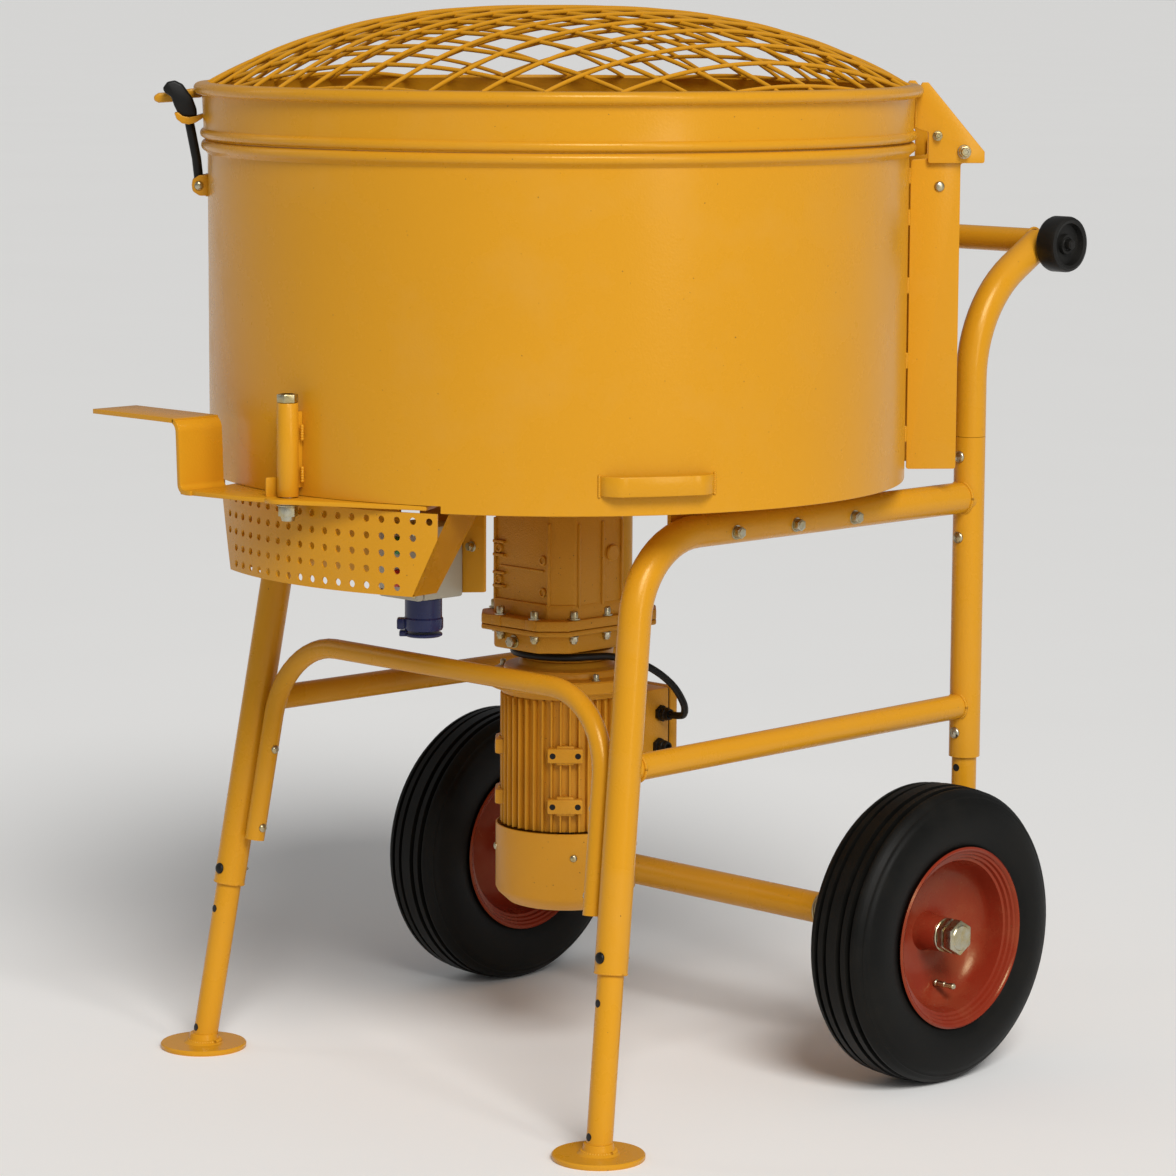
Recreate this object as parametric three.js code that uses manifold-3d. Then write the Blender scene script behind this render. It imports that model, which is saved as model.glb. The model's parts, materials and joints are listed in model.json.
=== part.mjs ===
// A forced-action pan mixer for mortar and concrete, on a wheeled tube frame.
// Millimetres, +Z up. +X is the operator's right. +Y points to the rear, where the wheels and the handle are.
import * as THREE from 'three';
import { mergeVertices } from 'three/addons/utils/BufferGeometryUtils.js';
import Module from 'manifold-3d';

const wasm = await Module();
wasm.setup();

// Driving dimensions
const GAP = 0.3;                       // kept between pieces that touch
const SIDES = 12;                      // facets round a frame tube
const DRUM_SIDES = 40;

const BIG_TUBE = { outer: 21.2, inner: 18.2 };     // 42.4 mm tube
const SMALL_TUBE = { outer: 16.85, inner: 13.85 }; // 33.7 mm tube
const HOOP_TUBE = { outer: 13.45, inner: 10.85 };  // 26.9 mm tube
const RAIL_X = 335;
const UPPER_RAIL_Z = 767;
const LOWER_RAIL_Z = 480;
const LEG_BEND = 120;
const FOOT = new THREE.Vector3(386, -301, 0);
const LEG_LEAN = new THREE.Vector3((RAIL_X - 386) / UPPER_RAIL_Z, 0.155, 1);
const LEG_COLLAR_Z = 228;
const POST_Y = 455;
const POST_BOTTOM = 410;
const POST_TOP = 850;
const HANDLE_Y = 597;
const HANDLE_Z = 1108;
const HANDLE_KNEE_Z = 1025;
const AXLE_Y = 300;
const AXLE_Z = 200;
const WHEEL_X = 412;
const WHEEL_R = 200;
const WHEEL_SIDES = 24;

const DRUM_R = 463;
const DRUM_WALL = 4;
const DRUM_BOTTOM = 806;
const FLOOR_Z = 815;
const FLOOR_T = 6;
const DRUM_TOP = 1251.5;
const DOME_R = 1150;
const DOME_TOP = 1428;
const HINGE_R = 533;
const HINGE_Z = 1237;
const HINGE_TURN = 50;                 // degrees from +X to the hinge
const LATCH_TURN = 230;
const LATCH_R = 474.5;
const LATCH_Z = 1190.5;

const GATE_PIVOT = new THREE.Vector2(12, -485);
const OUTLET = new THREE.Vector2(8, -375);
const OUTLET_R = 72;

const COUNTER_Y = 50.75;               // countershaft axis
const MOTOR_Y = 18.75;                 // motor axis
const SLOW_MODULE = 1.75;
const FAST_MODULE = 1;
const PINION_TEETH = 8;
const SLOW_TEETH = 50;
const FAST_TEETH = 56;

// The bounding box's centre, seen from the drum's axis: the model's origin is put there.
const BOX_CENTRE = new THREE.Vector2(0, 48);

const paint = (tint = 0xe09a22) => new THREE.MeshStandardMaterial({ color: tint, roughness: 0.42 });
const YELLOW = paint();
const CAST = paint(0xc4892a);
const RED = paint(0x9c3020);
const RUBBER = new THREE.MeshStandardMaterial({ color: 0x1b1b1a, roughness: 0.85, metalness: 0 });
const ZINC = new THREE.MeshStandardMaterial({ color: 0xb7b39c, roughness: 0.4, metalness: 1 });
const STEEL = new THREE.MeshStandardMaterial({ color: 0x8b8d8e, roughness: 0.45, metalness: 1 });
const GREY = new THREE.MeshStandardMaterial({ color: 0xa9a898, roughness: 0.5, metalness: 0 });
const BLUE = new THREE.MeshStandardMaterial({ color: 0x16246b, roughness: 0.4, metalness: 0 });
const GREEN = new THREE.MeshStandardMaterial({ color: 0x2f7d3a, roughness: 0.4, metalness: 0 });
const COPPER = new THREE.MeshStandardMaterial({ color: 0x9a5b34, roughness: 0.5, metalness: 1 });

// ---------------------------------------------------------------- solids

// One closed mesh: positions only, shared points merged, faces pointing out.
function closed(geometry) {
  let g = geometry.clone();
  g.deleteAttribute('normal');
  g.deleteAttribute('uv');
  g = mergeVertices(g, 1e-3);
  const p = g.attributes.position;
  const index = [];
  let volume = 0;
  const corner = [new THREE.Vector3(), new THREE.Vector3(), new THREE.Vector3()];
  for (let i = 0; i < g.index.count; i += 3) {
    const [a, b, c] = [0, 1, 2].map((k) => g.index.getX(i + k));
    if (a === b || b === c || a === c) continue;
    index.push(a, b, c);
    corner[0].fromBufferAttribute(p, a);
    corner[1].fromBufferAttribute(p, b);
    corner[2].fromBufferAttribute(p, c);
    volume += corner[0].dot(corner[1].clone().cross(corner[2]));
  }
  if (volume < 0) index.reverse();
  g.setIndex(index);
  return g;
}

function solid(geometry) {
  const g = closed(geometry);
  return new wasm.Manifold(new wasm.Mesh({
    numProp: 3,
    vertProperties: new Float32Array(g.attributes.position.array),
    triVerts: new Uint32Array(g.index.array),
  }));
}

function geometryOf(manifold) {
  const mesh = manifold.getMesh();
  const g = new THREE.BufferGeometry();
  g.setAttribute('position', new THREE.BufferAttribute(mesh.vertProperties, 3));
  g.setIndex(new THREE.BufferAttribute(mesh.triVerts, 1));
  return g;
}

const join = (...parts) => geometryOf(parts.map(solid).reduce((a, b) => a.add(b)));
const cut = (body, ...tools) => geometryOf(tools.map(solid).reduce((a, b) => a.subtract(b), solid(body)));
const common = (a, b) => geometryOf(solid(a).intersect(solid(b)));

// ---------------------------------------------------------------- shapes

const radians = THREE.MathUtils.degToRad;
const outline = (points) => new THREE.Shape(points.map(([x, y]) => new THREE.Vector2(x, y)));

// Points of an arc about (cx, cy), from one angle to another in degrees.
function arc(cx, cy, r, from, to, steps) {
  return Array.from({ length: steps + 1 }, (_, i) => {
    const a = radians(from + ((to - from) * i) / steps);
    return [cx + r * Math.cos(a), cy + r * Math.sin(a)];
  });
}

const circle = (r, sides, cx = 0, cy = 0) => arc(cx, cy, r, 0, 360 - 360 / sides, sides - 1);

// A flat outline in XY, thick along Z from z = 0.
function slab(points, thickness, holes = []) {
  const shape = outline(points);
  shape.holes = holes.map(outline);
  return new THREE.ExtrudeGeometry(shape, { depth: thickness, bevelEnabled: false });
}

// An outline given as (x, z), thick along Y and centred on y = 0.
function profileXZ(points, thickness) {
  return slab(points, thickness).rotateX(Math.PI / 2).translate(0, thickness / 2, 0);
}

const box = (x0, x1, y0, y1, z0, z1) =>
  new THREE.BoxGeometry(x1 - x0, y1 - y0, z1 - z0).translate((x0 + x1) / 2, (y0 + y1) / 2, (z0 + z1) / 2);

const rod = (r, z0, z1, sides = SIDES, x = 0, y = 0) =>
  new THREE.CylinderGeometry(r, r, z1 - z0, sides).rotateX(Math.PI / 2).translate(x, y, (z0 + z1) / 2);

const rodX = (r, x0, x1, y, z, sides = SIDES) =>
  new THREE.CylinderGeometry(r, r, x1 - x0, sides).rotateZ(Math.PI / 2).translate((x0 + x1) / 2, y, z);

const rodY = (r, y0, y1, x, z, sides = SIDES) =>
  new THREE.CylinderGeometry(r, r, y1 - y0, sides).translate(x, (y0 + y1) / 2, z);

// A profile of (radius, z) points turned round Z; it closes on itself.
function turned(profile, segments) {
  const points = [...profile, profile[0]].map(([r, z]) => new THREE.Vector2(r, z));
  return new THREE.LatheGeometry(points, segments).rotateX(Math.PI / 2);
}

// The centre line of a bent tube: straight runs between corners, each corner rounded to one radius.
// Its steps fall on the ends of the runs and evenly round the bends.
class BentRun extends THREE.Curve {
  constructor(corners, radius, bendSteps) {
    super();
    const c = corners.map((p) => new THREE.Vector3(...p));
    this.stations = [];
    const last = c.length - 1;
    for (let i = 0; i <= last; i += 1) {
      if (i === 0 || i === last) {
        const way = i === 0 ? c[1].clone().sub(c[0]) : c[last].clone().sub(c[last - 1]);
        this.stations.push({ point: c[i], tangent: way.normalize() });
      } else {
        this.addBend(c[i - 1], c[i], c[i + 1], radius, bendSteps);
      }
    }
  }

  addBend(before, corner, after, radius, steps) {
    const inward = corner.clone().sub(before).normalize();
    const outward = after.clone().sub(corner).normalize();
    const turn = inward.angleTo(outward);
    const axis = inward.clone().cross(outward).normalize();
    const start = corner.clone().addScaledVector(inward, -radius * Math.tan(turn / 2));
    const centre = start.clone().addScaledVector(axis.clone().cross(inward), radius);
    for (let i = 0; i <= steps; i += 1) {
      const a = (turn * i) / steps;
      const point = start.clone().sub(centre).applyAxisAngle(axis, a).add(centre);
      this.stations.push({ point, tangent: inward.clone().applyAxisAngle(axis, a) });
    }
  }

  get steps() { return this.stations.length - 1; }

  getPointAt(u) { return this.stations[Math.round(u * this.steps)].point.clone(); }

  getTangentAt(u) { return this.stations[Math.round(u * this.steps)].tangent.clone(); }
}

function bentTube(corners, bendRadius, tube, bendSteps = 6, sides = SIDES) {
  const run = new BentRun(corners, bendRadius, bendSteps);
  const ring = outline(circle(tube.outer, sides));
  ring.holes = [outline(circle(tube.inner, sides))];
  return new THREE.ExtrudeGeometry(ring, { steps: run.steps, extrudePath: run, bevelEnabled: false });
}

function bentRod(corners, bendRadius, r, bendSteps = 5, sides = 8) {
  const run = new BentRun(corners, bendRadius, bendSteps);
  const shape = outline(circle(r, sides));
  return new THREE.ExtrudeGeometry(shape, { steps: run.steps, extrudePath: run, bevelEnabled: false });
}

// A spur gear's outline with one tooth centred on the angle given. The teeth are cut with backlash.
function gearOutline(module, teeth, toothAt) {
  const pitchR = (module * teeth) / 2;
  const step = 360 / teeth;
  const points = [];
  for (let i = 0; i < teeth; i += 1) {
    const middle = toothAt + i * step;
    points.push(...arc(0, 0, pitchR - module, middle - 0.27 * step, middle - 0.27 * step, 1).slice(1));
    points.push(...arc(0, 0, pitchR + 0.75 * module, middle - 0.1 * step, middle + 0.1 * step, 1));
    points.push(...arc(0, 0, pitchR - module, middle + 0.27 * step, middle + 0.27 * step, 1).slice(1));
  }
  return points;
}

// ---------------------------------------------------------------- assembly

const model = new THREE.Group();
model.position.set(-BOX_CENTRE.x, -BOX_CENTRE.y, 0);

function add(name, geometry, material, parent = model) {
  const mesh = new THREE.Mesh(closed(geometry), material);
  mesh.name = name;
  parent.add(mesh);
  return mesh;
}

function turnedGroup(degrees, parent = model) {
  const group = new THREE.Group();
  group.rotation.z = radians(degrees);
  parent.add(group);
  return group;
}

// The same piece on both sides: left is -X, right is +X.
function pair(name, geometry, material) {
  add(`${name}_right`, geometry, material);
  add(`${name}_left`, geometry.clone().scale(-1, 1, 1), material);
}

const legPoint = (z) => FOOT.clone().addScaledVector(LEG_LEAN, z).toArray();

// ---------------------------------------------------------------- frame

function frame() {
  const postFace = POST_Y - BIG_TUBE.outer - GAP;
  const knee = legPoint(UPPER_RAIL_Z);
  pair('leg_rail', bentTube([legPoint(LEG_COLLAR_Z), knee, [RAIL_X, postFace, UPPER_RAIL_Z]],
    LEG_BEND, BIG_TUBE, 5), YELLOW);

  const post = bentTube([[RAIL_X, POST_Y, POST_BOTTOM], [RAIL_X, POST_Y, POST_TOP - GAP]], 1, BIG_TUBE);
  pair('rear_post', post, YELLOW);

  const lower = bentTube([legPoint(LOWER_RAIL_Z), [RAIL_X, postFace, LOWER_RAIL_Z]], 1, SMALL_TUBE);
  const legSpace = bentRod([legPoint(LEG_COLLAR_Z), knee], 1, BIG_TUBE.outer + 2 * GAP, 1, SIDES);
  pair('lower_rail', cut(lower, legSpace), YELLOW);

  const hoopInset = 38;
  const side = (z, sign) => {
    const [x, y] = legPoint(z);
    return [sign * (x - hoopInset), y, z];
  };
  const corners = [side(296, -1), side(567, -1), side(567, 1), side(296, 1)];
  add('front_hoop', bentTube(corners, 110, HOOP_TUBE, 4, 10), YELLOW);
}

// Angle plates bolted inside the rails; the drum's floor rests on their flanges.
function drumMounts() {
  const top = FLOOR_Z - GAP;
  const face = RAIL_X - BIG_TUBE.outer - GAP;
  const angle = [[face - 6, 745], [face, 745], [face, top], [face - 50, top], [face - 50, top - 6],
    [face - 6, top - 6]];
  pair('drum_mount', profileXZ(angle, 380).translate(0, 85, 0), YELLOW);
}

// The push handle: two tubes plugged into the rear posts, with a stub for a roller on each, and a cross bar.
function handle() {
  const grip = { outer: BIG_TUBE.outer, inner: 16.5 };
  const bent = bentTube([[RAIL_X, POST_Y, POST_TOP], [RAIL_X, POST_Y, HANDLE_KNEE_Z],
    [RAIL_X, HANDLE_Y - 4, HANDLE_Z - 2]], 170, grip, 4);
  const plugRun = [[RAIL_X, POST_Y, 690], [RAIL_X, POST_Y, POST_TOP + 40]];
  const spigot = bentTube(plugRun, 1, { outer: 17.6, inner: 14.6 });
  const stub = rodX(8, RAIL_X + 17, RAIL_X + 52, HANDLE_Y - 4, HANDLE_Z - 2, 10);
  const plug = rodX(17, RAIL_X - 8, RAIL_X + 20, HANDLE_Y - 4, HANDLE_Z - 2, 10);
  pair('handle_tube', join(bent, spigot, stub, plug), YELLOW);
  const reach = RAIL_X - BIG_TUBE.outer - GAP;
  add('handle_crossbar', rodX(SMALL_TUBE.outer, -reach, reach, HANDLE_Y, HANDLE_Z), YELLOW);

  const tyre = [[9, -15], [33, -15], [38, -11], [38, 11], [33, 15], [9, 15]];
  for (const [name, x] of [['handle_roller_right', 373], ['handle_roller_left', -373]]) {
    const roller = add(name, turned(tyre, 20), RUBBER);
    roller.rotation.y = Math.PI / 2;
    roller.position.set(x, HANDLE_Y - 4, HANDLE_Z - 2);
  }
}

// ---------------------------------------------------------------- feet, axle and wheels

function feet() {
  const stem = bentTube([legPoint(4), legPoint(340)], 1, SMALL_TUBE);
  const disc = rod(59, 0, 7, 24, FOOT.x, FOOT.y);
  pair('leg_foot', join(stem, disc), YELLOW);
}

// Two tubes that telescope in the rear posts, a plate from each to the axle tube, and the stub axles.
function axle() {
  const parts = [rodX(BIG_TUBE.outer, -316, 316, AXLE_Y, AXLE_Z), rodX(12.4, -478, 478, AXLE_Y, AXLE_Z, 10)];
  const plate = [[AXLE_Y - 24, AXLE_Z - 24], [AXLE_Y + 30, AXLE_Z - 26], [POST_Y + 17, AXLE_Z - 8],
    [POST_Y + 17, AXLE_Z + 60], [POST_Y - 20, AXLE_Z + 60], [AXLE_Y - 10, AXLE_Z + 27]];
  for (const side of [-1, 1]) {
    const x = side * RAIL_X;
    parts.push(bentTube([[x, POST_Y, 190], [x, POST_Y, 600]], 1, SMALL_TUBE));
    const gusset = slab(plate, 10).rotateY(Math.PI / 2).rotateX(Math.PI / 2);
    parts.push(gusset.translate(side * 321 - 5, 0, 0));
  }
  add('axle_carrier', join(...parts), YELLOW);
}

function wheel(side, x) {
  const group = new THREE.Group();
  group.position.set(x, AXLE_Y, AXLE_Z);
  group.rotation.y = Math.PI / 2;
  model.add(group);
  const tread = [[103, -36], [125, -50], [155, -54], [186, -44], [WHEEL_R, -16], [WHEEL_R, 16], [186, 44],
    [155, 54], [125, 50], [103, 36]];
  add(`tyre_${side}`, turned(tread, WHEEL_SIDES), RUBBER, group);
  const rim = [[13.4, -52], [30, -52], [30, -6], [88, -6], [94, -44], [121, -55], [102.4, -36.4],
    [102.4, 36.4], [121, 55], [94, 44], [88, 0], [30, 4], [30, 52], [13.4, 52]];
  add(`wheel_rim_${side}`, turned(rim, WHEEL_SIDES), RED, group);
}

// ---------------------------------------------------------------- drum

function drum() {
  const wall = [[DRUM_R - DRUM_WALL, DRUM_BOTTOM], [DRUM_R, DRUM_BOTTOM], [DRUM_R, 1236], [468, 1237.5],
    [472, 1241], [472, 1246], [468, 1250], [462, DRUM_TOP], [DRUM_R - DRUM_WALL, 1249]];
  const gateNotch = slab([...arc(0, 0, 440, 245, 298, 8), ...arc(0, 0, 480, 298, 245, 8)], 20)
    .translate(0, 0, FLOOR_Z - 20 + 0.6);
  const grip = [...arc(0, 0, DRUM_R + 18, -37, -22, 3), ...arc(0, 0, DRUM_R - 1, -20, -20, 1).slice(1),
    ...arc(0, 0, DRUM_R + 12, -23, -36, 3), ...arc(0, 0, DRUM_R - 1, -39, -39, 1).slice(1)];
  const gripBar = slab(grip, 25).translate(0, 0, 831);
  add('drum_shell', join(cut(turned(wall, DRUM_SIDES), gateNotch), gripBar), YELLOW);

  const floorR = DRUM_R - DRUM_WALL - GAP;
  const floorTop = FLOOR_Z + FLOOR_T;
  const plate = turned([[61, FLOOR_Z], [floorR, FLOOR_Z], [floorR, floorTop], [61, floorTop]],
    DRUM_SIDES);
  add('drum_floor', cut(plate, rod(OUTLET_R, FLOOR_Z - 5, FLOOR_Z + 15, 24, OUTLET.x, OUTLET.y)), YELLOW);
}

// The gate: a plate under the floor on a vertical pivot, whose arm bends up and out into a flat handle.
function gate() {
  const { x, y } = GATE_PIVOT;
  const plan = [[-140, -535], [-30, -520], ...arc(x, y, 30, 240, 320, 3), ...arc(x, y, 196, 20, 152, 10),
    [-140, -463]];
  const bottom = FLOOR_Z - GAP - FLOOR_T;
  const plate = slab(plan, FLOOR_T).translate(0, 0, bottom);
  const lever = [[-139, bottom], [-139, bottom + 20], [-140, 899], [-146, 905], [-320, 905], [-320, 899],
    [-149, 899], [-146, 896], [-146, bottom + 5], [-144, bottom]];
  const strap = profileXZ(lever, 72).translate(0, -499, 0);
  const stopTab = [...arc(x, y, 20, 150, 215, 3), ...arc(x, y, 24, 215, 150, 3)];
  const stop = slab(stopTab, 26).translate(0, 0, bottom + 2);
  const hole = rod(9, 790, 830, 12, x, y);
  add('discharge_gate', cut(join(plate, strap, stop), hole), YELLOW);

  const sleeve = slab(circle(13.5, 14, x, y), 118, [circle(9, 12, x, y)]).translate(0, 0, FLOOR_Z + 1);
  const web = box(x - 3, x + 3, y + 11, -DRUM_R - GAP, 826, 922);
  add('gate_pivot_tube', join(sleeve, web), YELLOW);
  const bolt = join(rod(8, 772, 940, 10, x, y), rod(14, FLOOR_Z + 119.5, FLOOR_Z + 130, 6, x, y),
    rod(14, bottom - 14, bottom - 1, 6, x, y));
  add('gate_pivot_bolt', bolt, ZINC);
}

// A sheet bent round the outlet below the gate, with a return at each end.
function guard() {
  const z0 = 700;
  const z1 = DRUM_BOTTOM - 0.7;
  const skin = slab([...arc(0, 0, 460, 243, 299, 12), ...arc(0, 0, DRUM_R, 299, 243, 12)], z1 - z0)
    .translate(0, 0, z0);
  const ends = [[-166, z0 - 5], [178, z0 - 5], [222, z1 + 1], [-201, z1 + 1]];
  const taper = profileXZ(ends, 300).translate(0, -400, 0);
  const front = common(skin, taper);
  const returns = [[-199, -1], [220, 1]].map(([x, sign]) => {
    const foot = sign > 0 ? 178 : -166;
    const flange = profileXZ([[foot - sign * 1.5, z0], [foot + sign * 1.5, z0], [x + sign * 1.2, z1],
      [x + sign * 4, FLOOR_Z - GAP], [x + sign * 1, FLOOR_Z - GAP], [x - sign * 1.8, z1]], 60);
    return flange.translate(0, sign > 0 ? -382 : -391, 0);
  });
  const insideSkin = rod(DRUM_R - 0.1, z0 - 10, DRUM_BOTTOM - 0.3, 96);
  const insideWall = rod(DRUM_R - DRUM_WALL - 2, DRUM_BOTTOM - 0.4, FLOOR_Z, 96);
  add('outlet_guard', common(join(front, ...returns), join(insideSkin, insideWall)), YELLOW);
}

// ---------------------------------------------------------------- mixing rotor

function rotor() {
  const hub = [[20.6, 832], [70, 832], [70, 960], [52, 996], [16, 1010], [0, 1010], [0, 990], [20.6, 990]];
  add('rotor_hub', turned(hub, 20), STEEL);
  add('rotor_shaft', rod(20, 652, 988, 14), STEEL);
  const gear = slab(gearOutline(SLOW_MODULE, SLOW_TEETH, 90), 26, [circle(20.6, 14)]).translate(0, 0, 664);
  add('output_gear', gear, STEEL);

  const paddleR = [165, 275, 385];
  paddleR.forEach((r, i) => {
    const arm = turnedGroup(30 + 120 * i);
    const shape = [[71, 905], [r - 12, 905], [r - 12, 868], [r + 12, 868], [r + 12, 930], [71, 930]];
    add(`mixing_arm_${i + 1}`, profileXZ(shape, 20), YELLOW, arm);
    const blade = [[r - 56, 826], [r + 56, 826], [r + 56, 862], [r + 14, 900], [r - 14, 900], [r - 56, 862]];
    add(`paddle_${i + 1}`, profileXZ(blade, 8).translate(0, 10 + 4 + GAP, 0), STEEL, arm);
  });
  const scraper = [[71, 938], [436, 938], [436, 828], [452, 828], [452, 1020], [436, 1020], [436, 958],
    [71, 958]];
  add('wall_scraper', profileXZ(scraper, 12), STEEL, turnedGroup(90));
}

// ---------------------------------------------------------------- gearbox and motor

const chamfered = (x, y0, y1, c) => [[-x + c, y0], [x - c, y0], [x, y0 + c], [x, y1 - c], [x - c, y1],
  [-x + c, y1], [-x, y1 - c], [-x, y0 + c]];

function gearbox() {
  const flange = slab(chamfered(83, -89, 137, 18), 31).translate(0, 0, 606);
  const body = slab(chamfered(76, -64, 72.5, 20), 123).translate(0, 0, 637);
  const collar = rod(58, 759, FLOOR_Z - GAP, 20);
  const flangeRoom = slab(chamfered(75, -81, 129, 14), 27).translate(0, 0, 604);
  const bodyRoom = slab(chamfered(68, -56, 65, 14), 122).translate(0, 0, 630);
  const bore = rod(21, 740, 830, 14);
  add('gear_housing', cut(join(flange, body, collar), flangeRoom, bodyRoom, bore), CAST);

  const cover = slab(chamfered(83, -89, 137, 18), 11.6).translate(0, 0, 594.1);
  const adapter = join(rod(85, 576, 595, 20, 0, MOTOR_Y), rod(62, 556.3, 577, 16, 0, MOTOR_Y));
  add('gear_base', cut(join(cover, adapter), rod(16, 550, 610, 12, 0, MOTOR_Y)), CAST);

  const fastGear = slab(gearOutline(FAST_MODULE, FAST_TEETH, -90), 16);
  const counter = join(rod(5, 607, 745, 8), fastGear.translate(0, 0, 612),
    slab(gearOutline(SLOW_MODULE, PINION_TEETH, -90 + 180 / PINION_TEETH), 30).translate(0, 0, 662));
  add('countershaft', counter, STEEL).position.y = COUNTER_Y;
}

function motor() {
  const group = new THREE.Group();
  group.position.y = MOTOR_Y;
  model.add(group);
  const pinionOutline = gearOutline(FAST_MODULE, PINION_TEETH, 90 + 180 / PINION_TEETH);
  const pinion = slab(pinionOutline, 20).translate(0, 0, 610);
  const shaft = join(rod(12, 246, 596, 10), rod(2.9, 590, 612, 8), rod(44, 345, 495, 16), pinion);
  add('motor_shaft', shaft, STEEL, group);

  const blades = [];
  for (let i = 0; i < 6; i += 1) {
    blades.push(...arc(0, 0, 22, 60 * i - 22, 60 * i - 12, 1), ...arc(0, 0, 70, 60 * i - 6, 60 * i + 6, 1),
      ...arc(0, 0, 22, 60 * i + 12, 60 * i + 22, 1));
  }
  add('cooling_fan', slab(blades, 24, [circle(13, 10)]).translate(0, 0, 272), RUBBER, group);
  add('stator', slab(circle(77.5, 20), 160, [circle(46, 20)]).translate(0, 0, 340), COPPER, group);

  const fins = [];
  const finCount = 20;
  const finStep = 360 / finCount;
  for (let i = 0; i < finCount; i += 1) {
    fins.push(...arc(0, 0, 82, i * finStep - 0.36 * finStep, i * finStep - 0.36 * finStep, 1).slice(1));
    fins.push(...arc(0, 0, 89, i * finStep - 0.12 * finStep, i * finStep + 0.12 * finStep, 1));
    fins.push(...arc(0, 0, 82, i * finStep + 0.36 * finStep, i * finStep + 0.36 * finStep, 1).slice(1));
  }
  const barrel = slab(fins, 181, [circle(78.5, 20)]).translate(0, 0, 330);
  const shieldProfile = [[15, 556], [58, 556], [66, 545], [84, 540], [106, 537], [106, 519], [88, 517],
    [88, 505], [78.5, 505], [78.5, 512], [15, 535]];
  const shield = turned(shieldProfile, 20);
  const pads = [];
  for (const turn of [-135, -45]) {
    for (const z of [356, 425]) {
      pads.push(box(78.8, 97, -26, 26, z, z + 22).rotateZ(radians(turn)));
    }
  }
  add('motor_housing', join(barrel, shield, ...pads), CAST, group);

  const cowl = [[40, 221], [80, 221], [95, 238], [95, 329.7], [92.5, 329.7], [92.5, 239], [79, 223.5],
    [40, 223.5]];
  add('fan_cowl', turned(cowl, 24), CAST, group);
}

// The terminal box behind the motor with its cable gland, and the lead that runs to it from the switch box.
function wiring() {
  const shell = cut(box(-50, 50, 108.5, 185, 389, 503), box(-46, 46, 100, 181, 393, 499));
  const gland = rodX(10, 46, 70, 150, 469, 8);
  add('terminal_box', cut(join(shell, gland), rodX(6, 40, 80, 150, 469, 8)), CAST);

  const around = arc(0, MOTOR_Y, 71, -155, -12, 6).map(([px, py]) => [px, py, 565]);
  const route = [[17, -285, 740], [-8, -282, 744], [-45, -262, 762], [-90, -205, 780], [-116, -120, 782],
    [-120, -35, 772], [-112, 20, 735], [-106, 38, 670], [-103, 38, 614], [-97, 32, 587], [-84, 14, 567],
    ...around, [80, 30, 563], [98, 72, 549], [108, 110, 522], [107, 136, 492], [97, 148, 474],
    [84, 150, 469.5], [70.5, 150, 469]];
  const lead = new THREE.CatmullRomCurve3(route.map((p) => new THREE.Vector3(...p)));
  const section = outline(circle(5, 8));
  const sweep = { steps: 52, extrudePath: lead, bevelEnabled: false };
  add('motor_lead', new THREE.ExtrudeGeometry(section, sweep), RUBBER);
}

// ---------------------------------------------------------------- switch and inlet

function electrics() {
  add('switch_bracket', profileXZ([[12, 671], [134, 671], [134, FLOOR_Z - GAP], [12, FLOOR_Z - GAP]], 4)
    .translate(0, -259, 0), YELLOW);
  const shell = cut(box(20, 95, -340, -261.3, 676, 770), box(24, 91, -336, -250, 680, 766));
  const buttons = [['start_button', 745, GREEN], ['stop_button', 703, RED]];
  const holes = buttons.map(([, z]) => rodY(11.6, -345, -330, 57, z, 12));
  add('switch_box', cut(shell, ...holes), GREY);
  for (const [name, z, colour] of buttons) {
    const cap = join(rodY(11, -347, -334, 57, z, 12), rodY(14, -334, -330, 57, z, 12));
    add(name, cap, colour);
  }

  const inlet = turnedGroup(225);
  inlet.position.set(62, -300, 0);
  const cup = turned([[0, 675.7], [24, 675.7], [24, 632], [20.5, 632], [20.5, 668], [0, 668]], 20);
  const lug = box(22, 34, -9, 9, 634, 648);
  add('power_inlet', join(cup, lug), BLUE, inlet);
  const flap = join(rod(24.5, 624.5, 629, 16), box(20, 31, -8, 8, 624.5, 632));
  add('inlet_flap', flap, BLUE, inlet);
}

// ---------------------------------------------------------------- lid

function lid() {
  const ring = [[461, 1252.5], [470, 1252.5], [473, 1259], [468.5, 1265.5], [471, 1309], [481, 1318],
    [475, 1325], [461, 1326], [461, 1341], [457, 1341], [457, 1320], [465, 1308]];
  add('lid_ring', turned(ring, DRUM_SIDES), YELLOW);

  // The grille: two crossing families of flat strands on a shallow dome, tied by a rim.
  const grille = turnedGroup(HINGE_TURN);
  const domeZ = (r) => DOME_TOP - DOME_R + Math.sqrt(DOME_R * DOME_R - r * r);
  const rimR = 454;
  const strandT = 3.5;
  const rim = turned([[rimR - 7, domeZ(rimR) - 5], [rimR, domeZ(rimR) - 5], [rimR, domeZ(rimR)],
    [rimR - 7, domeZ(rimR)]], 40);
  const parts = [rim];
  const slope = 27;
  const rows = 5;
  const spacing = 170;
  for (const turn of [-slope, slope]) {
    for (let i = 0; i < rows; i += 1) {
      const offset = (i - (rows - 1) / 2) * spacing;
      const half = Math.sqrt((rimR - 4) ** 2 - offset ** 2);
      const strip = new THREE.BoxGeometry(2 * half, 8, strandT, 6, 1, 1).translate(0, offset, 0);
      const p = strip.attributes.position;
      for (let k = 0; k < p.count; k += 1) {
        const r = Math.min(Math.hypot(p.getX(k), p.getY(k)), rimR - 1);
        p.setZ(k, domeZ(r) - strandT / 2 + p.getZ(k) - 0.2);
      }
      parts.push(strip.rotateZ(radians(turn)));
    }
  }
  add('lid_grille', join(...parts), YELLOW, grille);
}

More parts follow.
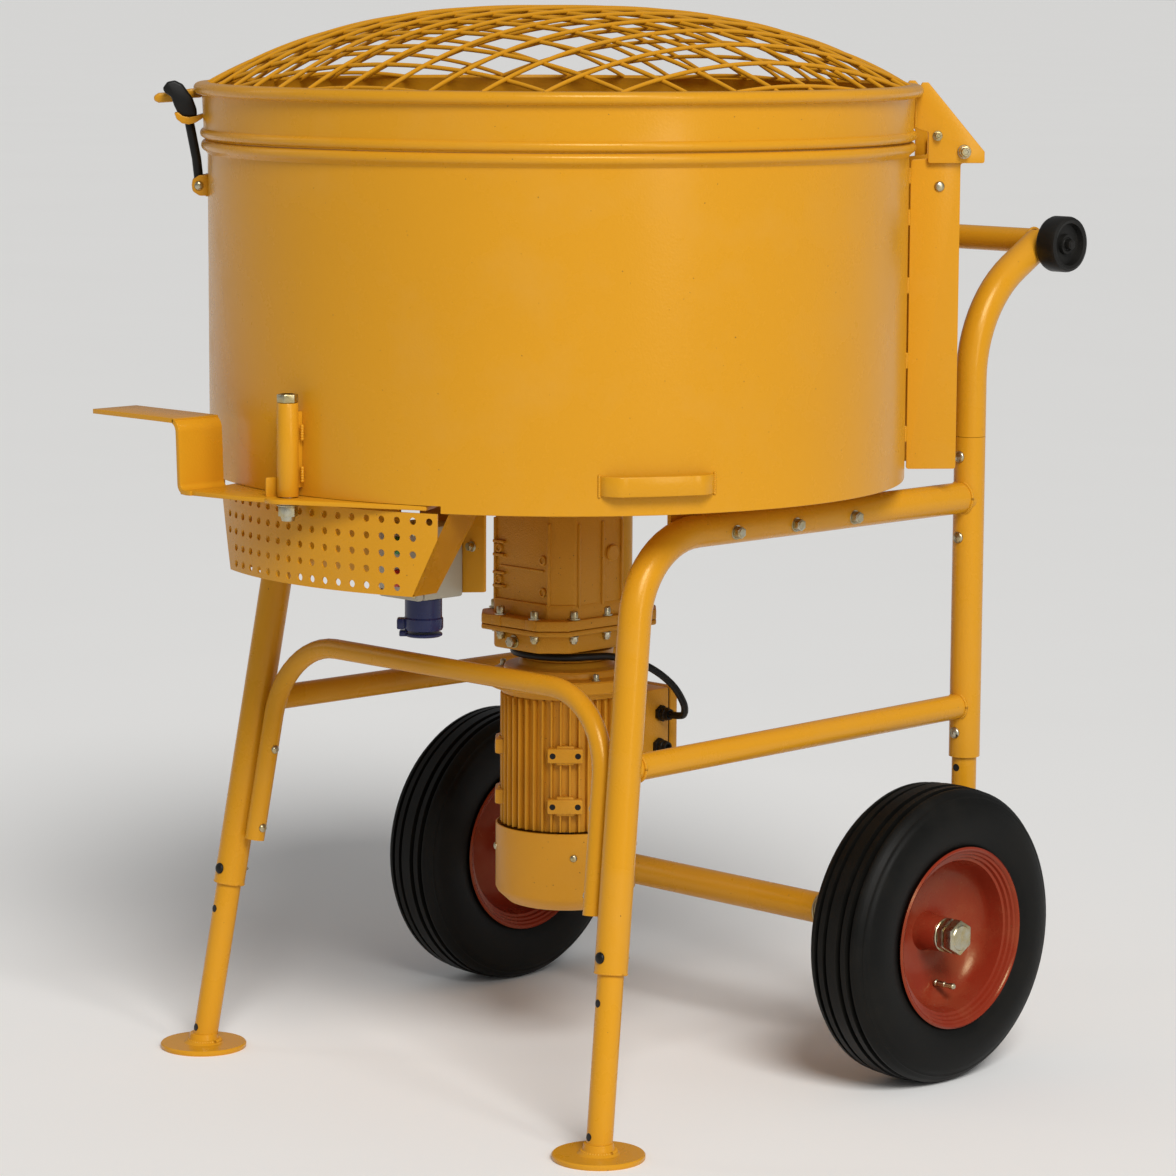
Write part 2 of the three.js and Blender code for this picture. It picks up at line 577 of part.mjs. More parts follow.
// The sheet column behind the drum that carries the lid's pivot, and the lid's two cheeks and pivot bolt.
function lidHinge() {
  const group = turnedGroup(HINGE_TURN);
  const side = [[464, 815], [530, 815], [530, 1221], [548, 1224], [548, 1252], [517, 1252], [496, 1236],
    [474, 1228], [474, 1224], [464, 1222]];
  const plates = [-46.5, 46.5].map((y) => profileXZ(side, 3).translate(0, y, 0));
  const back = box(527, 530, -46, 46, 815, 1190);
  const bore = rodY(9.6, -60, 60, HINGE_R, HINGE_Z, 16);
  add('hinge_column', cut(join(...plates, back), bore), YELLOW, group);

  const cheek = [[479, 1328], [484, 1328], [560, 1237], [560, 1222], [485, 1222], [485, 1262], [471, 1267],
    [471, 1309], [479, 1311]];
  const cheeks = [-54, 54].map((y) => profileXZ(cheek, 4).translate(0, y, 0));
  add('lid_hinge_bracket', join(...cheeks, rodY(8, -62, 62, HINGE_R, HINGE_Z, 12)), YELLOW, group);
}

// A rubber strap on a pin on the drum hooks over a fork on the lid's ring. A finger beside it lifts the lid.
function latch() {
  const group = turnedGroup(LATCH_TURN);
  const ear = [[463.6, 1178], [478, 1178], [483, 1184], [483, 1197], [478, 1203], [463.6, 1203]];
  const ears = [-16, 16].map((y) => profileXZ(ear, 4).translate(0, y, 0));
  const pin = rodY(4, -18, 18, LATCH_R, LATCH_Z, 8);
  add('latch_lug', join(...ears, box(463.6, 466.2, -16, 16, 1176, 1205), pin),
    YELLOW, group);

  const strap = [...arc(LATCH_R, LATCH_Z, 7.6, 150, 390, 6), [480, 1199], [494, 1276],
    [514, 1276], [519, 1287], [512, 1316], [498, 1322], [484, 1312], [481, 1276], [470, 1199]];
  const waist = [-17, 17].map((y) => box(460, 530, y - 10, y + 10, 1200, 1274));
  const eye = rodY(4.6, -20, 20, LATCH_R, LATCH_Z, 10);
  add('latch_strap', cut(profileXZ(strap, 24), ...waist, eye), RUBBER, group);

  const prongs = [[471, -20], [500, -24], [512, -20], [512, -12], [479, -12], [479, 12], [512, 12], [512, 20],
    [500, 24], [471, 20]];
  const saddle = slab(prongs, 4.4);
  const fork = join(saddle.translate(0, 0, 1271.3), box(471, 476, -34, 20, 1271.3, 1290));
  const finger = profileXZ([[471, 1284], [476, 1284], [480, 1296], [526, 1299], [530, 1307], [526, 1306],
    [471, 1303]], 12).translate(0, -28, 0);
  add('lid_catch', join(fork, finger), YELLOW, group);
}

frame();
drumMounts();
handle();
feet();
axle();
wheel('right', WHEEL_X);
wheel('left', -WHEEL_X);
drum();
gate();
guard();
rotor();
gearbox();
motor();
wiring();
electrics();
lid();
lidHinge();
latch();

export default model;
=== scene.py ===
# %% [markdown]
# # A forced-action mixer on a wheeled tube frame
# The machine is a steel drum with turning paddles, a grille lid, a gear motor hung below and a bent tube frame. A
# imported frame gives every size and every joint. The pieces here are built round it and ride on its bodies. Shapes
# are worked out in millimetres from the foot of the drum's axis, and one matrix takes them to the row's metres.

# %% Load the frame
import json
import math
import bmesh
import bpy
from mathutils import Matrix, Vector


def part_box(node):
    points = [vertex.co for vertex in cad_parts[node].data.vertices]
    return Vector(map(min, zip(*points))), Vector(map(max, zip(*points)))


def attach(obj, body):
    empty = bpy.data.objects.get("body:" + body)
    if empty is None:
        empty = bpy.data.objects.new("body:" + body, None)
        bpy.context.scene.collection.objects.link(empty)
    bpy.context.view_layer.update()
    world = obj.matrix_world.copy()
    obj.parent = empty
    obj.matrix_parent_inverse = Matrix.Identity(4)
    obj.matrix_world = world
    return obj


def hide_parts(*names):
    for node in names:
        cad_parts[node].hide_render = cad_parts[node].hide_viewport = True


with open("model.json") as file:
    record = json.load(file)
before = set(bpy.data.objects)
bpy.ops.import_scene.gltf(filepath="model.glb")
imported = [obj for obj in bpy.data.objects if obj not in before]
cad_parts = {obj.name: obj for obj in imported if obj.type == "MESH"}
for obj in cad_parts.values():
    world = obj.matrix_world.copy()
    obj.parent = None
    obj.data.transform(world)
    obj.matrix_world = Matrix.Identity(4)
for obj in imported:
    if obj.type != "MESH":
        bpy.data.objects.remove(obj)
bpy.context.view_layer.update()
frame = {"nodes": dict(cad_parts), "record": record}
record = frame["record"]

floor_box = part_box("drum_floor")
DRUM_Y = (floor_box[0][1] + floor_box[1][1]) / 2
TO_METRES = Matrix.Translation((0, DRUM_Y, 0)) @ Matrix.Scale(0.001, 4)

# %% [markdown]
# A few questions are asked of the frame again and again: where a node starts and ends, and where a joint's axis runs.
# Two small functions answer them in millimetres, so that no piece needs a place typed in by hand.

# %% Ask the frame
JOINTS = {joint["name"]: joint for joint in record["behaviour"]["joints"]}
MOUNTS = {mount["name"]: mount for mount in record["mounts"]}


def in_mm(point):
    return Vector((point[0] * 1000, (point[1] - DRUM_Y) * 1000, point[2] * 1000))


def span(node):
    """The lowest and the highest corner of a node, in millimetres from the foot of the drum's axis."""
    low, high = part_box(node)
    return in_mm(low), in_mm(high)


def middle(node):
    low, high = span(node)
    return (low + high) / 2


print("rail box", [round(v) for v in span("leg_rail_right")[1]])

# %% [markdown]
# ## Node graphs in a few words
# A finish and a geometry tree are both graphs of nodes. One method makes any node: its settings first, then its
# sockets. A value that varies is wrapped in a small class, so that maths on it is written as an ordinary
# expression.

# %% Graph and signal
class Signal:
    """One output socket. Plus, minus, times and divide add Math nodes."""

    def __init__(self, graph, socket):
        self.graph = graph
        self.socket = socket

    def maths(self, operation, first, second=0.0):
        return self.graph.node(self.graph.maths_node, {"operation": operation}, {0: first, 1: second})

    def __add__(self, other):
        return self.maths("ADD", self, other)

    def __sub__(self, other):
        return self.maths("SUBTRACT", self, other)

    def __mul__(self, other):
        return self.maths("MULTIPLY", self, other)

    def __truediv__(self, other):
        return self.maths("DIVIDE", self, other)

    def __pow__(self, other):
        return self.maths("POWER", self, other)

    def __rsub__(self, other):
        return self.maths("SUBTRACT", other, self)

    __radd__ = __add__
    __rmul__ = __mul__


class Graph:
    maths_node = "ShaderNodeMath"

    def __init__(self, tree):
        self.tree = tree

    def node(self, kind, settings=None, sockets=None, output=0):
        """Adds a node, sets its settings, then its sockets to values or links, and returns one of its outputs."""
        made = self.tree.nodes.new(kind)
        for name, value in (settings or {}).items():
            setattr(made, name, value)
        for name, value in (sockets or {}).items():
            if isinstance(value, Signal):
                self.tree.links.new(value.socket, made.inputs[name])
            else:
                made.inputs[name].default_value = value
        return Signal(self, made.outputs[output])


print("graph helpers ready")

# %% [markdown]
# ## Finishes
# Every finish starts as one Principled shader. What varies over a surface goes only to its colour, roughness and
# normal. Patterns read Object coordinates, which are metres here, so a noise scale of 300 gives grains of about 3
# mm.

# %% The finish class
class Finish(Graph):
    """A material: constants go straight onto the shader, patterns through the methods."""

    def __init__(self, name, **constants):
        self.material = bpy.data.materials.new(name)
        self.material.use_nodes = True
        super().__init__(self.material.node_tree)
        self.shader = self.tree.nodes["Principled BSDF"]
        for socket, value in constants.items():
            self.shader.inputs[socket.replace("_", " ")].default_value = value
        self.place = self.node("ShaderNodeTexCoord", output="Object")

    def noise(self, scale, detail=2.0, roughness=0.5, place=None):
        sockets = {"Vector": place or self.place, "Scale": scale, "Detail": detail, "Roughness": roughness}
        return self.node("ShaderNodeTexNoise", {}, sockets, "Fac")

    def step(self, signal, low, high, bottom=0.0, top=1.0):
        """Takes low..high of a signal to bottom..top and holds it there."""
        sockets = {"Value": signal, "From Min": low, "From Max": high, "To Min": bottom, "To Max": top}
        return self.node("ShaderNodeMapRange", {}, sockets)

    def mix(self, factor, first, second):
        return self.node("ShaderNodeMix", {"data_type": "RGBA"}, {0: factor, 6: first, 7: second}, 2)

    def send(self, socket, signal):
        self.tree.links.new(signal.socket, self.shader.inputs[socket])
        return self

    def bump(self, height, distance, strength=1.0):
        sockets = {"Height": height, "Distance": distance, "Strength": strength}
        return self.send("Normal", self.node("ShaderNodeBump", {}, sockets))


def shade(colour, factor):
    """The same colour, lighter or darker."""
    return tuple(channel * factor for channel in colour[:3]) + (1.0,)


print("finish class ready")

# %% [markdown]
# Powder coat on a site machine is a thick glossy skin. It has a fine orange peel, a slow change of tone,
# faint dust that dulls the gloss, and a few pinhead chips down to the dark primer.
# One function makes it, so that the sheet steel, the castings and the red rims are kin with other numbers.

# %% Paint
YELLOW = (0.61, 0.275, 0.012, 1.0)
CAST_YELLOW = (0.53, 0.235, 0.016, 1.0)
RIM_RED = (0.22, 0.022, 0.009, 1.0)
PRIMER = (0.12, 0.06, 0.02, 1.0)
PIGMENT_SHEEN = (1.0, 0.84, 0.42, 1.0)


def paint(name, colour, gloss, peel_scale, peel_height, chips=0.80):
    finish = Finish(name, Coat_Roughness=0.16, Specular_IOR_Level=0.32, Specular_Tint=PIGMENT_SHEEN)
    tone = finish.noise(1.7, 3.0)
    dust = finish.step(finish.noise(9.0, 6.0, 0.62), 0.50, 0.76)
    chip = finish.step(finish.noise(240.0, 1.0), chips, chips + 0.012)
    clean = finish.mix(tone, shade(colour, 0.93), shade(colour, 1.07))
    dusty = finish.mix(dust * 0.08, clean, (0.55, 0.36, 0.14, 1.0))
    finish.send("Base Color", finish.mix(chip * 0.8, dusty, PRIMER))
    finish.send("Roughness", gloss + dust * 0.14 + chip * 0.3)
    finish.send("Coat Weight", 0.06 - chip * 0.06)
    peel = finish.noise(peel_scale, 1.5) - chip * 0.6
    return finish.bump(peel, peel_height, 0.55).material


sheet_paint = paint("yellow_powder_coat", YELLOW, 0.27, 330.0, 0.00035)
cast_paint = paint("sprayed_casting", CAST_YELLOW, 0.42, 520.0, 0.0011, 0.76)
ribbed_paint = paint("sprayed_ribbed_casting", shade(CAST_YELLOW, 1.12), 0.38, 430.0, 0.0007, 0.77)
rim_paint = paint("red_enamel", RIM_RED, 0.24, 260.0, 0.0003, 0.78)
print("paints", 4)

# %% [markdown]
# Steel that isn't painted comes in two kinds: fasteners with a yellow passivated zinc skin, whose tint drifts from
# straw to pale blue, and the mixing tools, which the mortar scours bare and leaves with fine scratches and brown
# stains.

# %% Metals
def zinc(name):
    finish = Finish(name, Metallic=1.0)
    drift = finish.step(finish.noise(60.0, 3.0), 0.35, 0.65)
    finish.send("Base Color", finish.mix(drift, (0.46, 0.38, 0.19, 1), (0.50, 0.48, 0.38, 1)))
    finish.send("Roughness", finish.step(finish.noise(180.0, 2.0), 0.3, 0.7, 0.22, 0.44))
    return finish.bump(finish.noise(900.0, 1.0), 0.0001, 0.4).material


def scoured_steel(name, colour):
    finish = Finish(name, Metallic=0.9)
    stretched = finish.node("ShaderNodeMapping", {}, {"Vector": finish.place, "Scale": (1.0, 1.0, 14.0)})
    scratch = finish.noise(60.0, 4.0, 0.6, stretched)
    stain = finish.step(finish.noise(14.0, 5.0, 0.65), 0.5, 0.68)
    finish.send("Base Color", finish.mix(stain * 0.5, shade(colour, 1.0), (0.13, 0.075, 0.04, 1)))
    finish.send("Roughness", finish.step(scratch, 0.3, 0.7, 0.30, 0.52) + stain * 0.2)
    return finish.bump(scratch, 0.0003, 0.6).material


fastener_zinc = zinc("passivated_zinc")
tool_steel = scoured_steel("scoured_steel", (0.36, 0.36, 0.36))
winding = scoured_steel("varnished_winding", (0.42, 0.17, 0.07))
print("metals", 3)

# %% [markdown]
# Rubber and moulded plastic are dull, dark and softly grained. Tyres collect pale dust, so their noise goes to
# colour too. The same function makes the grey enclosure, the blue inlet and the button caps with other colours and
# gloss.

# %% Rubber and plastic
def moulded(name, colour, roughness, grain_scale, grain_height, dust=0.1, shine=0.5):
    finish = Finish(name, IOR=1.45, Specular_IOR_Level=shine)
    cloud = finish.step(finish.noise(11.0, 5.0, 0.6), 0.42, 0.75)
    finish.send("Base Color", finish.mix(cloud * dust, colour, (0.34, 0.29, 0.22, 1)))
    finish.send("Roughness", roughness + cloud * 0.16)
    return finish.bump(finish.noise(grain_scale, 2.0), grain_height, 0.6).material


tyre_rubber = moulded("tyre_rubber", (0.0035, 0.0035, 0.003, 1), 0.46, 700.0, 0.0004, 0.015, 0.16)
black_rubber = moulded("black_rubber", (0.005, 0.005, 0.0045, 1), 0.40, 900.0, 0.0002, 0.02, 0.3)
grey_plastic = moulded("grey_enclosure", (0.40, 0.38, 0.30, 1), 0.45, 1100.0, 0.00025)
blue_plastic = moulded("blue_inlet", (0.005, 0.010, 0.070, 1), 0.22, 900.0, 0.0001, 0.03)
green_plastic = moulded("green_cap", (0.02, 0.20, 0.045, 1), 0.3, 900.0, 0.0001, 0.03)
red_plastic = moulded("red_cap", (0.42, 0.015, 0.012, 1), 0.3, 900.0, 0.0001, 0.03)
black_plastic = moulded("black_fan", (0.02, 0.02, 0.02, 1), 0.45, 800.0, 0.0002)
print("plastics and rubbers", 7)

# %% [markdown]
# ## From a shape to a piece
# A shape is a bmesh in millimetres. This step scales it, gives it its finish and edges that shade sharp or soft,
# and tells the frame which body it rides on and which frame nodes it stands for.


def as_mesh(shape, name="shape"):
    mesh = bpy.data.meshes.new(name)
    shape.to_mesh(mesh)
    shape.free()
    return mesh


def as_shape(mesh):
    shape = bmesh.new()
    shape.from_mesh(mesh)
    bpy.data.meshes.remove(mesh)
    return shape


def placed(name, data):
    """A new object in the scene."""
    made = bpy.data.objects.new(name, data)
    bpy.context.scene.collection.objects.link(made)
    return made


def applied(made):
    """An object's mesh with its modifiers applied."""
    depsgraph = bpy.context.evaluated_depsgraph_get()
    return bpy.data.meshes.new_from_object(made.evaluated_get(depsgraph), depsgraph=depsgraph)


def piece(name, shape, finish, body="frame", stands_for=(), sharp=35):
    mesh = as_mesh(shape) if isinstance(shape, bmesh.types.BMesh) else shape
    mesh.name = name
    mesh.transform(TO_METRES)
    mesh.materials.clear()
    mesh.materials.append(finish)
    mesh.polygons.foreach_set("use_smooth", [True] * len(mesh.polygons))
    mesh.set_sharp_from_angle(angle=math.radians(sharp))
    made = placed(name, mesh)
    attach(made, body)
    if stands_for:
        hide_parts(*stands_for)
    return made


def painted(name, shape, body="frame", stands_for=(), sharp=35):
    return piece(name, shape, sheet_paint, body, stands_for, sharp)


print("piece helper ready")

# %% [markdown]
# ## Basic shapes
# Turned parts are a profile of (radius, height) points spun round Z, flat parts are an outline given a thickness,
# and both get their doubles merged and their faces turned outwards before anything else happens to them.

# %% Lathe and slab
def tidied(shape):
    bmesh.ops.remove_doubles(shape, verts=shape.verts, dist=0.001)
    bmesh.ops.dissolve_degenerate(shape, edges=shape.edges, dist=0.0005)
    bmesh.ops.recalc_face_normals(shape, faces=shape.faces)
    return shape


def lathe(profile, segments=64):
    """A closed profile of (radius, z) points turned round Z."""
    shape = bmesh.new()
    rings = []
    for k in range(segments):
        turn = 2 * math.pi * k / segments
        rings.append([shape.verts.new((r * math.cos(turn), r * math.sin(turn), z)) for r, z in profile])
    for k, ring in enumerate(rings):
        following = rings[(k + 1) % segments]
        for i in range(len(profile)):
            j = (i + 1) % len(profile)
            shape.faces.new((ring[i], following[i], following[j], ring[j]))
    return tidied(shape)


def bevelled(shape, width, steps=2, angle=30):
    """Rounds every edge that is sharper than the angle."""
    if width <= 0:
        return shape
    edges = [e for e in shape.edges if len(e.link_faces) == 2 and e.calc_face_angle(0) > math.radians(angle)]
    bmesh.ops.bevel(shape, geom=edges, offset=width, offset_type="OFFSET", segments=steps, profile=0.5,
                    affect="EDGES", clamp_overlap=True)
    return shape


def slab(outline, z0, z1, edge=0.6):
    """An outline in XY with a thickness and softened edges."""
    shape = bmesh.new()
    face = shape.faces.new([shape.verts.new((x, y, z0)) for x, y in outline])
    raised = bmesh.ops.extrude_face_region(shape, geom=[face])
    tops = [v for v in raised["geom"] if isinstance(v, bmesh.types.BMVert)]
    bmesh.ops.translate(shape, vec=(0, 0, z1 - z0), verts=tops)
    return bevelled(tidied(shape), edge)


def moved(shape, *matrices):
    for matrix in matrices:
        bmesh.ops.transform(shape, matrix=matrix, verts=shape.verts)
    if any(matrix.determinant() < 0 for matrix in matrices):
        bmesh.ops.reverse_faces(shape, faces=shape.faces)
    return shape


def joined(*shapes):
    """Several shapes as one."""
    whole = bmesh.new()
    for shape in shapes:
        mesh = as_mesh(shape)
        whole.from_mesh(mesh)
        bpy.data.meshes.remove(mesh)
    return whole


def carved(shape, *tools):
    """Cuts tools out of a shape with exact booleans."""
    target = placed("body", as_mesh(shape))
    cutters = [placed("tool", as_mesh(tool)) for tool in tools]
    for cutter in cutters:
        cut = target.modifiers.new("cut", "BOOLEAN")
        cut.operation = "DIFFERENCE"
        cut.solver = "EXACT"
        cut.object = cutter
    result = applied(target)
    for spent in [target] + cutters:
        bpy.data.objects.remove(spent)
    return as_shape(result)


print("shape helpers ready")

# %% [markdown]
# Outlines want arcs and rounded corners. An upright plate is the same slab stood on its edge,
# and a short table of matrices moves a shape to its place: shift, turn, and tip the Z axis onto a direction.

# %% Outlines and places
def arc(cx, cy, r, start, end, steps):
    turns = [math.radians(start + (end - start) * i / steps) for i in range(steps + 1)]
    return [(cx + r * math.cos(t), cy + r * math.sin(t)) for t in turns]


def rounded(corners, radius, steps=5):
    """An outline whose corners are filleted, as far as their edges allow."""
    outline = []
    count = len(corners)
    for i, corner in enumerate(corners):
        here = Vector(corner)
        back = Vector(corners[i - 1]) - here
        ahead = Vector(corners[(i + 1) % count]) - here
        angle = back.angle(ahead)
        reach = min(radius / math.tan(angle / 2), back.length * 0.45, ahead.length * 0.45)
        start = here + back.normalized() * reach
        end = here + ahead.normalized() * reach
        for k in range(steps + 1):
            t = k / steps
            outline.append(tuple((1 - t) ** 2 * start + 2 * t * (1 - t) * here + t * t * end))
    return outline


def shift(x, y, z):
    return Matrix.Translation((x, y, z))


def turn(degrees, axis="Z"):
    return Matrix.Rotation(math.radians(degrees), 4, axis)


def point_along(way):
    """The turn that takes +Z to a direction."""
    return Vector((0, 0, 1)).rotation_difference(Vector(way)).to_matrix().to_4x4()


def upright(outline, thickness, edge=0.6):
    """An outline of (x, z) points as a plate that stands on edge, centred on y = 0."""
    return moved(slab(outline, -thickness / 2, thickness / 2, edge), turn(90, "X"))


def block(x0, x1, y0, y1, z0, z1, edge=0.8):
    return slab([(x0, y0), (x1, y0), (x1, y1), (x0, y1)], z0, z1, edge)


def rod(r, z0, z1, sides=32, edge=0.6):
    return lathe([(0, z0), (r - edge, z0), (r, z0 + edge), (r, z1 - edge), (r - edge, z1), (0, z1)], sides)


print("outline helpers ready")

# %% [markdown]
# ## Geometry Nodes
# What repeats or follows a path is grown by a geometry tree with named inputs. This helper makes the tree's group,
# and the next one puts it on a start mesh, sets its inputs by identifier, and keeps the result as a plain mesh.

# %% Tree and growth
INPUT_KINDS = {float: "NodeSocketFloat", int: "NodeSocketInt", bpy.types.Material: "NodeSocketMaterial",
               bpy.types.Object: "NodeSocketObject"}


def geometry_tree(name, inputs, build):
    """A tree whose inputs are a dict of name to type. build(graph, start, inputs) returns the grown geometry."""
    tree = bpy.data.node_groups.new(name, "GeometryNodeTree")
    tree.interface.new_socket(name="Geometry", in_out="INPUT", socket_type="NodeSocketGeometry")
    tree.interface.new_socket(name="Geometry", in_out="OUTPUT", socket_type="NodeSocketGeometry")
    for label, kind in inputs.items():
        tree.interface.new_socket(name=label, in_out="INPUT", socket_type=INPUT_KINDS[kind])
    graph = Graph(tree)
    entry = tree.nodes.new("NodeGroupInput")
    signals = {socket.name: Signal(graph, socket) for socket in entry.outputs if socket.name}
    grown = build(graph, signals.pop("Geometry"), signals)
    real = graph.node("GeometryNodeRealizeInstances", {}, {"Geometry": grown})
    done = graph.node("GeometryNodeSetMaterial", {}, {"Geometry": real, "Material": signals["Finish"]})
    leave = tree.nodes.new("NodeGroupOutput")
    tree.links.new(done.socket, leave.inputs[0])
    return tree


def grow(tree, points, edges, values, ways=None):
    """Runs a tree on a mesh of points and edges and returns the result as a mesh in millimetres."""
    start = bpy.data.meshes.new("start")
    start.from_pydata([tuple(p) for p in points], edges, [])
    if ways:
        attribute = start.attributes.new("way", "FLOAT_VECTOR", "POINT")
        attribute.data.foreach_set("vector", [value for way in ways for value in way])
    grower = placed("grower", start)
    modifier = grower.modifiers.new("grow", "NODES")
    modifier.node_group = tree
    for item in tree.interface.items_tree:
        if item.in_out == "INPUT" and item.name in values:
            modifier[item.identifier] = values[item.name]
    mesh = applied(grower)
    grower.modifiers.remove(modifier)
    bpy.data.objects.remove(grower)
    return mesh


print("tree helpers ready")

# %% [markdown]
# ## Bent tube
# The frame is cold-bent steel tube. A tree rounds the corners of a run of points with Fillet Curve and sweeps a
# circle along it, which keeps every bend at its true radius. The ends are capped, as the cut and welded ends look.

# %% Tube tree
def build_tube(graph, start, given):
    run = graph.node("GeometryNodeMeshToCurve", {}, {"Mesh": start})
    bent = graph.node("GeometryNodeFilletCurve", {"mode": "POLY"},
                      {"Curve": run, "Count": given["Bend Steps"], "Radius": given["Bend Radius"]})
    ring = graph.node("GeometryNodeCurvePrimitiveCircle", {"mode": "RADIUS"},
                      {"Resolution": given["Sides"], "Radius": given["Tube Radius"]})
    return graph.node("GeometryNodeCurveToMesh", {}, {"Curve": bent, "Profile Curve": ring, "Fill Caps": True})


tube_tree = geometry_tree("bent_tube", {"Tube Radius": float, "Bend Radius": float, "Bend Steps": int, "Sides": int,
                                        "Finish": bpy.types.Material}, build_tube)


def tube(corners, radius, bend=1.0, sides=28, steps=9, finish=sheet_paint):
    edges = [(i, i + 1) for i in range(len(corners) - 1)]
    values = {"Tube Radius": radius, "Bend Radius": bend, "Bend Steps": steps, "Sides": sides,
              "Finish": finish}
    return tidied(as_shape(grow(tube_tree, corners, edges, values)))


print("tube tree inputs", len(tube_tree.interface.items_tree))

# %% [markdown]
# ## Fasteners and welds
# Bolts and nuts are one small shape set on many points, each turned to its own direction, which is held in an
# attribute. A weld is a run of overlapping drops along a seam. Both are trees that instance a shape and make it
# real.

# %% Fastener and weld trees
def build_fasteners(graph, start, given):
    shape = graph.node("GeometryNodeObjectInfo", {}, {"Object": given["Shape"]}, "Geometry")
    way = graph.node("GeometryNodeInputNamedAttribute", {"data_type": "FLOAT_VECTOR"}, {"Name": "way"})
    facing = graph.node("FunctionNodeAlignRotationToVector", {"axis": "Z"}, {"Vector": way})
    return graph.node("GeometryNodeInstanceOnPoints", {}, {"Points": start, "Instance": shape, "Rotation": facing})


def build_weld(graph, start, given):
    seam = graph.node("GeometryNodeMeshToCurve", {}, {"Mesh": start})
    spaced = graph.node("GeometryNodeResampleCurve", {"mode": "LENGTH"}, {"Curve": seam, "Length": given["Pitch"]})
    drop = graph.node("GeometryNodeMeshUVSphere", {}, {"Segments": 8, "Rings": 5, "Radius": given["Drop Radius"]})
    return graph.node("GeometryNodeInstanceOnPoints", {}, {"Points": spaced, "Instance": drop})


fastener_tree = geometry_tree("fasteners", {"Shape": bpy.types.Object, "Finish": bpy.types.Material}, build_fasteners)
weld_tree = geometry_tree("weld_bead", {"Pitch": float, "Drop Radius": float, "Finish": bpy.types.Material}, build_weld)


def fasten(name, shape, places, body="frame", finish=fastener_zinc):
    """Sets one shape on every (point, direction) of a list."""
    source = bpy.data.objects.new("shape", as_mesh(shape))
    values = {"Shape": source, "Finish": finish}
    grown = grow(fastener_tree, [p for p, _ in places], [], values, [tuple(w) for _, w in places])
    bpy.data.objects.remove(source)
    return piece(name, grown, finish, body)


def weld(name, seams, body="frame", drop=2.6):
    """Lays a bead along each seam, a list of points."""
    points = []
    edges = []
    for seam in seams:
        base = len(points)
        points += [Vector(p) for p in seam]
        edges += [(base + i, base + i + 1) for i in range(len(seam) - 1)]
    mesh = grow(weld_tree, points, edges, {"Pitch": drop * 1.1, "Drop Radius": drop, "Finish": sheet_paint})
    return painted(name, mesh, body, sharp=80)


def ring_seam(centre, way, radius, start=0, end=360, steps=24):
    """A seam round a tube."""
    tip = point_along(way)
    return [Vector(centre) + tip @ Vector((x, y, 0)) for x, y in arc(0, 0, radius, start, end, steps)]


print("fastener and weld trees ready")

# %% [markdown]
# The fasteners of this machine are hexagon bolts with a washer, dome-headed bolts, socket cap screws, and lock nuts
# with a bit of thread showing. They are turned and cut from simple profiles, with chamfered corners where the tool
# bears.

# %% Fastener shapes
def hexagon(across, z0, z1):
    corner = across / 2 / math.cos(math.pi / 6)
    return slab(arc(0, 0, corner, 0, 300, 5), z0, z1, across * 0.04)


def hex_bolt(across, washer=True):
    head = hexagon(across, 1.6, 1.6 + across * 0.62)
    crown = lathe([(0, across * 0.60), (across * 0.44, across * 0.60), (across * 0.36, 2 + across * 0.66),
                   (0, 2 + across * 0.66)], 24)
    disc = rod(across * (0.68 if washer else 0.5), 0, 1.8, 28, 0.4)
    return joined(head, crown, disc)


def lock_nut(across, thread):
    nut = hexagon(across, 1.6, 1.6 + across * 0.6)
    collar = lathe([(across * 0.25, 1.5 + across * 0.5), (across * 0.44, 1.5 + across * 0.6),
                    (across * 0.36, 2 + across * 0.85), (across * 0.25, 2 + across * 0.85)], 24)
    turns = [(thread - (0.35 if i % 2 else 0), 1 + i * 0.7) for i in range(int(across * 1.2))]
    stud = lathe([(0, 1)] + turns + [(thread * 0.7, turns[-1][1] + 1), (0, turns[-1][1] + 1)], 20)
    return joined(nut, collar, stud, rod(across * 0.66, 0, 1.6, 28, 0.4))


def dome_bolt(r):
    return lathe([(0, 0), (r, 0), (r, 0.8)] + [(r * math.cos(t / 10), 0.8 + r * 0.5 * math.sin(t / 10))
                                               for t in range(2, 15, 3)] + [(0, 0.8 + r * 0.5)], 24)


def cap_screw(r):
    return lathe([(0, 0), (r * 1.5, 0), (r * 1.5, 1.4), (r, 1.6), (r, r * 1.8), (r * 0.85, r * 2.05),
                  (r * 0.55, r * 2.05), (r * 0.5, r * 1.1), (0, r * 1.1)], 24)


print("fastener shapes", 4)

# %% [markdown]
# ## The frame's tubes
# Each side is one long tube: it rises from the foot at a lean, bends over, and runs back under the drum to the rear
# post. A thinner rail ties it lower down, and a hoop joins the two front legs. Their lines come from the feet's
# slide axes.

# %% Side frames
BIG_R = (span("rear_post_right")[1].x - span("rear_post_right")[0].x) / 2
SMALL_R = (span("handle_crossbar")[1].z - span("handle_crossbar")[0].z) / 2
HOOP_R = 13.45
LEG_BEND = 120
RAIL_X = middle("rear_post_right").x
RAIL_Z = span("leg_rail_right")[1].z - BIG_R
LOWER_Z = middle("lower_rail_right").z
POST_Y = middle("rear_post_right").y
POST_LOW, POST_HIGH = span("rear_post_right")
LEG_END_Z = span("leg_rail_right")[0].z + 3
SIDES = (("right", 1), ("left", -1))


def leg_point(z, side=1, inward=0):
    """A point on a leg's centre line at a height."""
    foot = in_mm(MOUNTS["foot_pad_right"]["pos_m"])
    lean = Vector(JOINTS["foot_right_height"]["axis"])
    point = foot + lean * (z / lean.z)
    return Vector(((point.x - inward) * side, point.y, point.z))


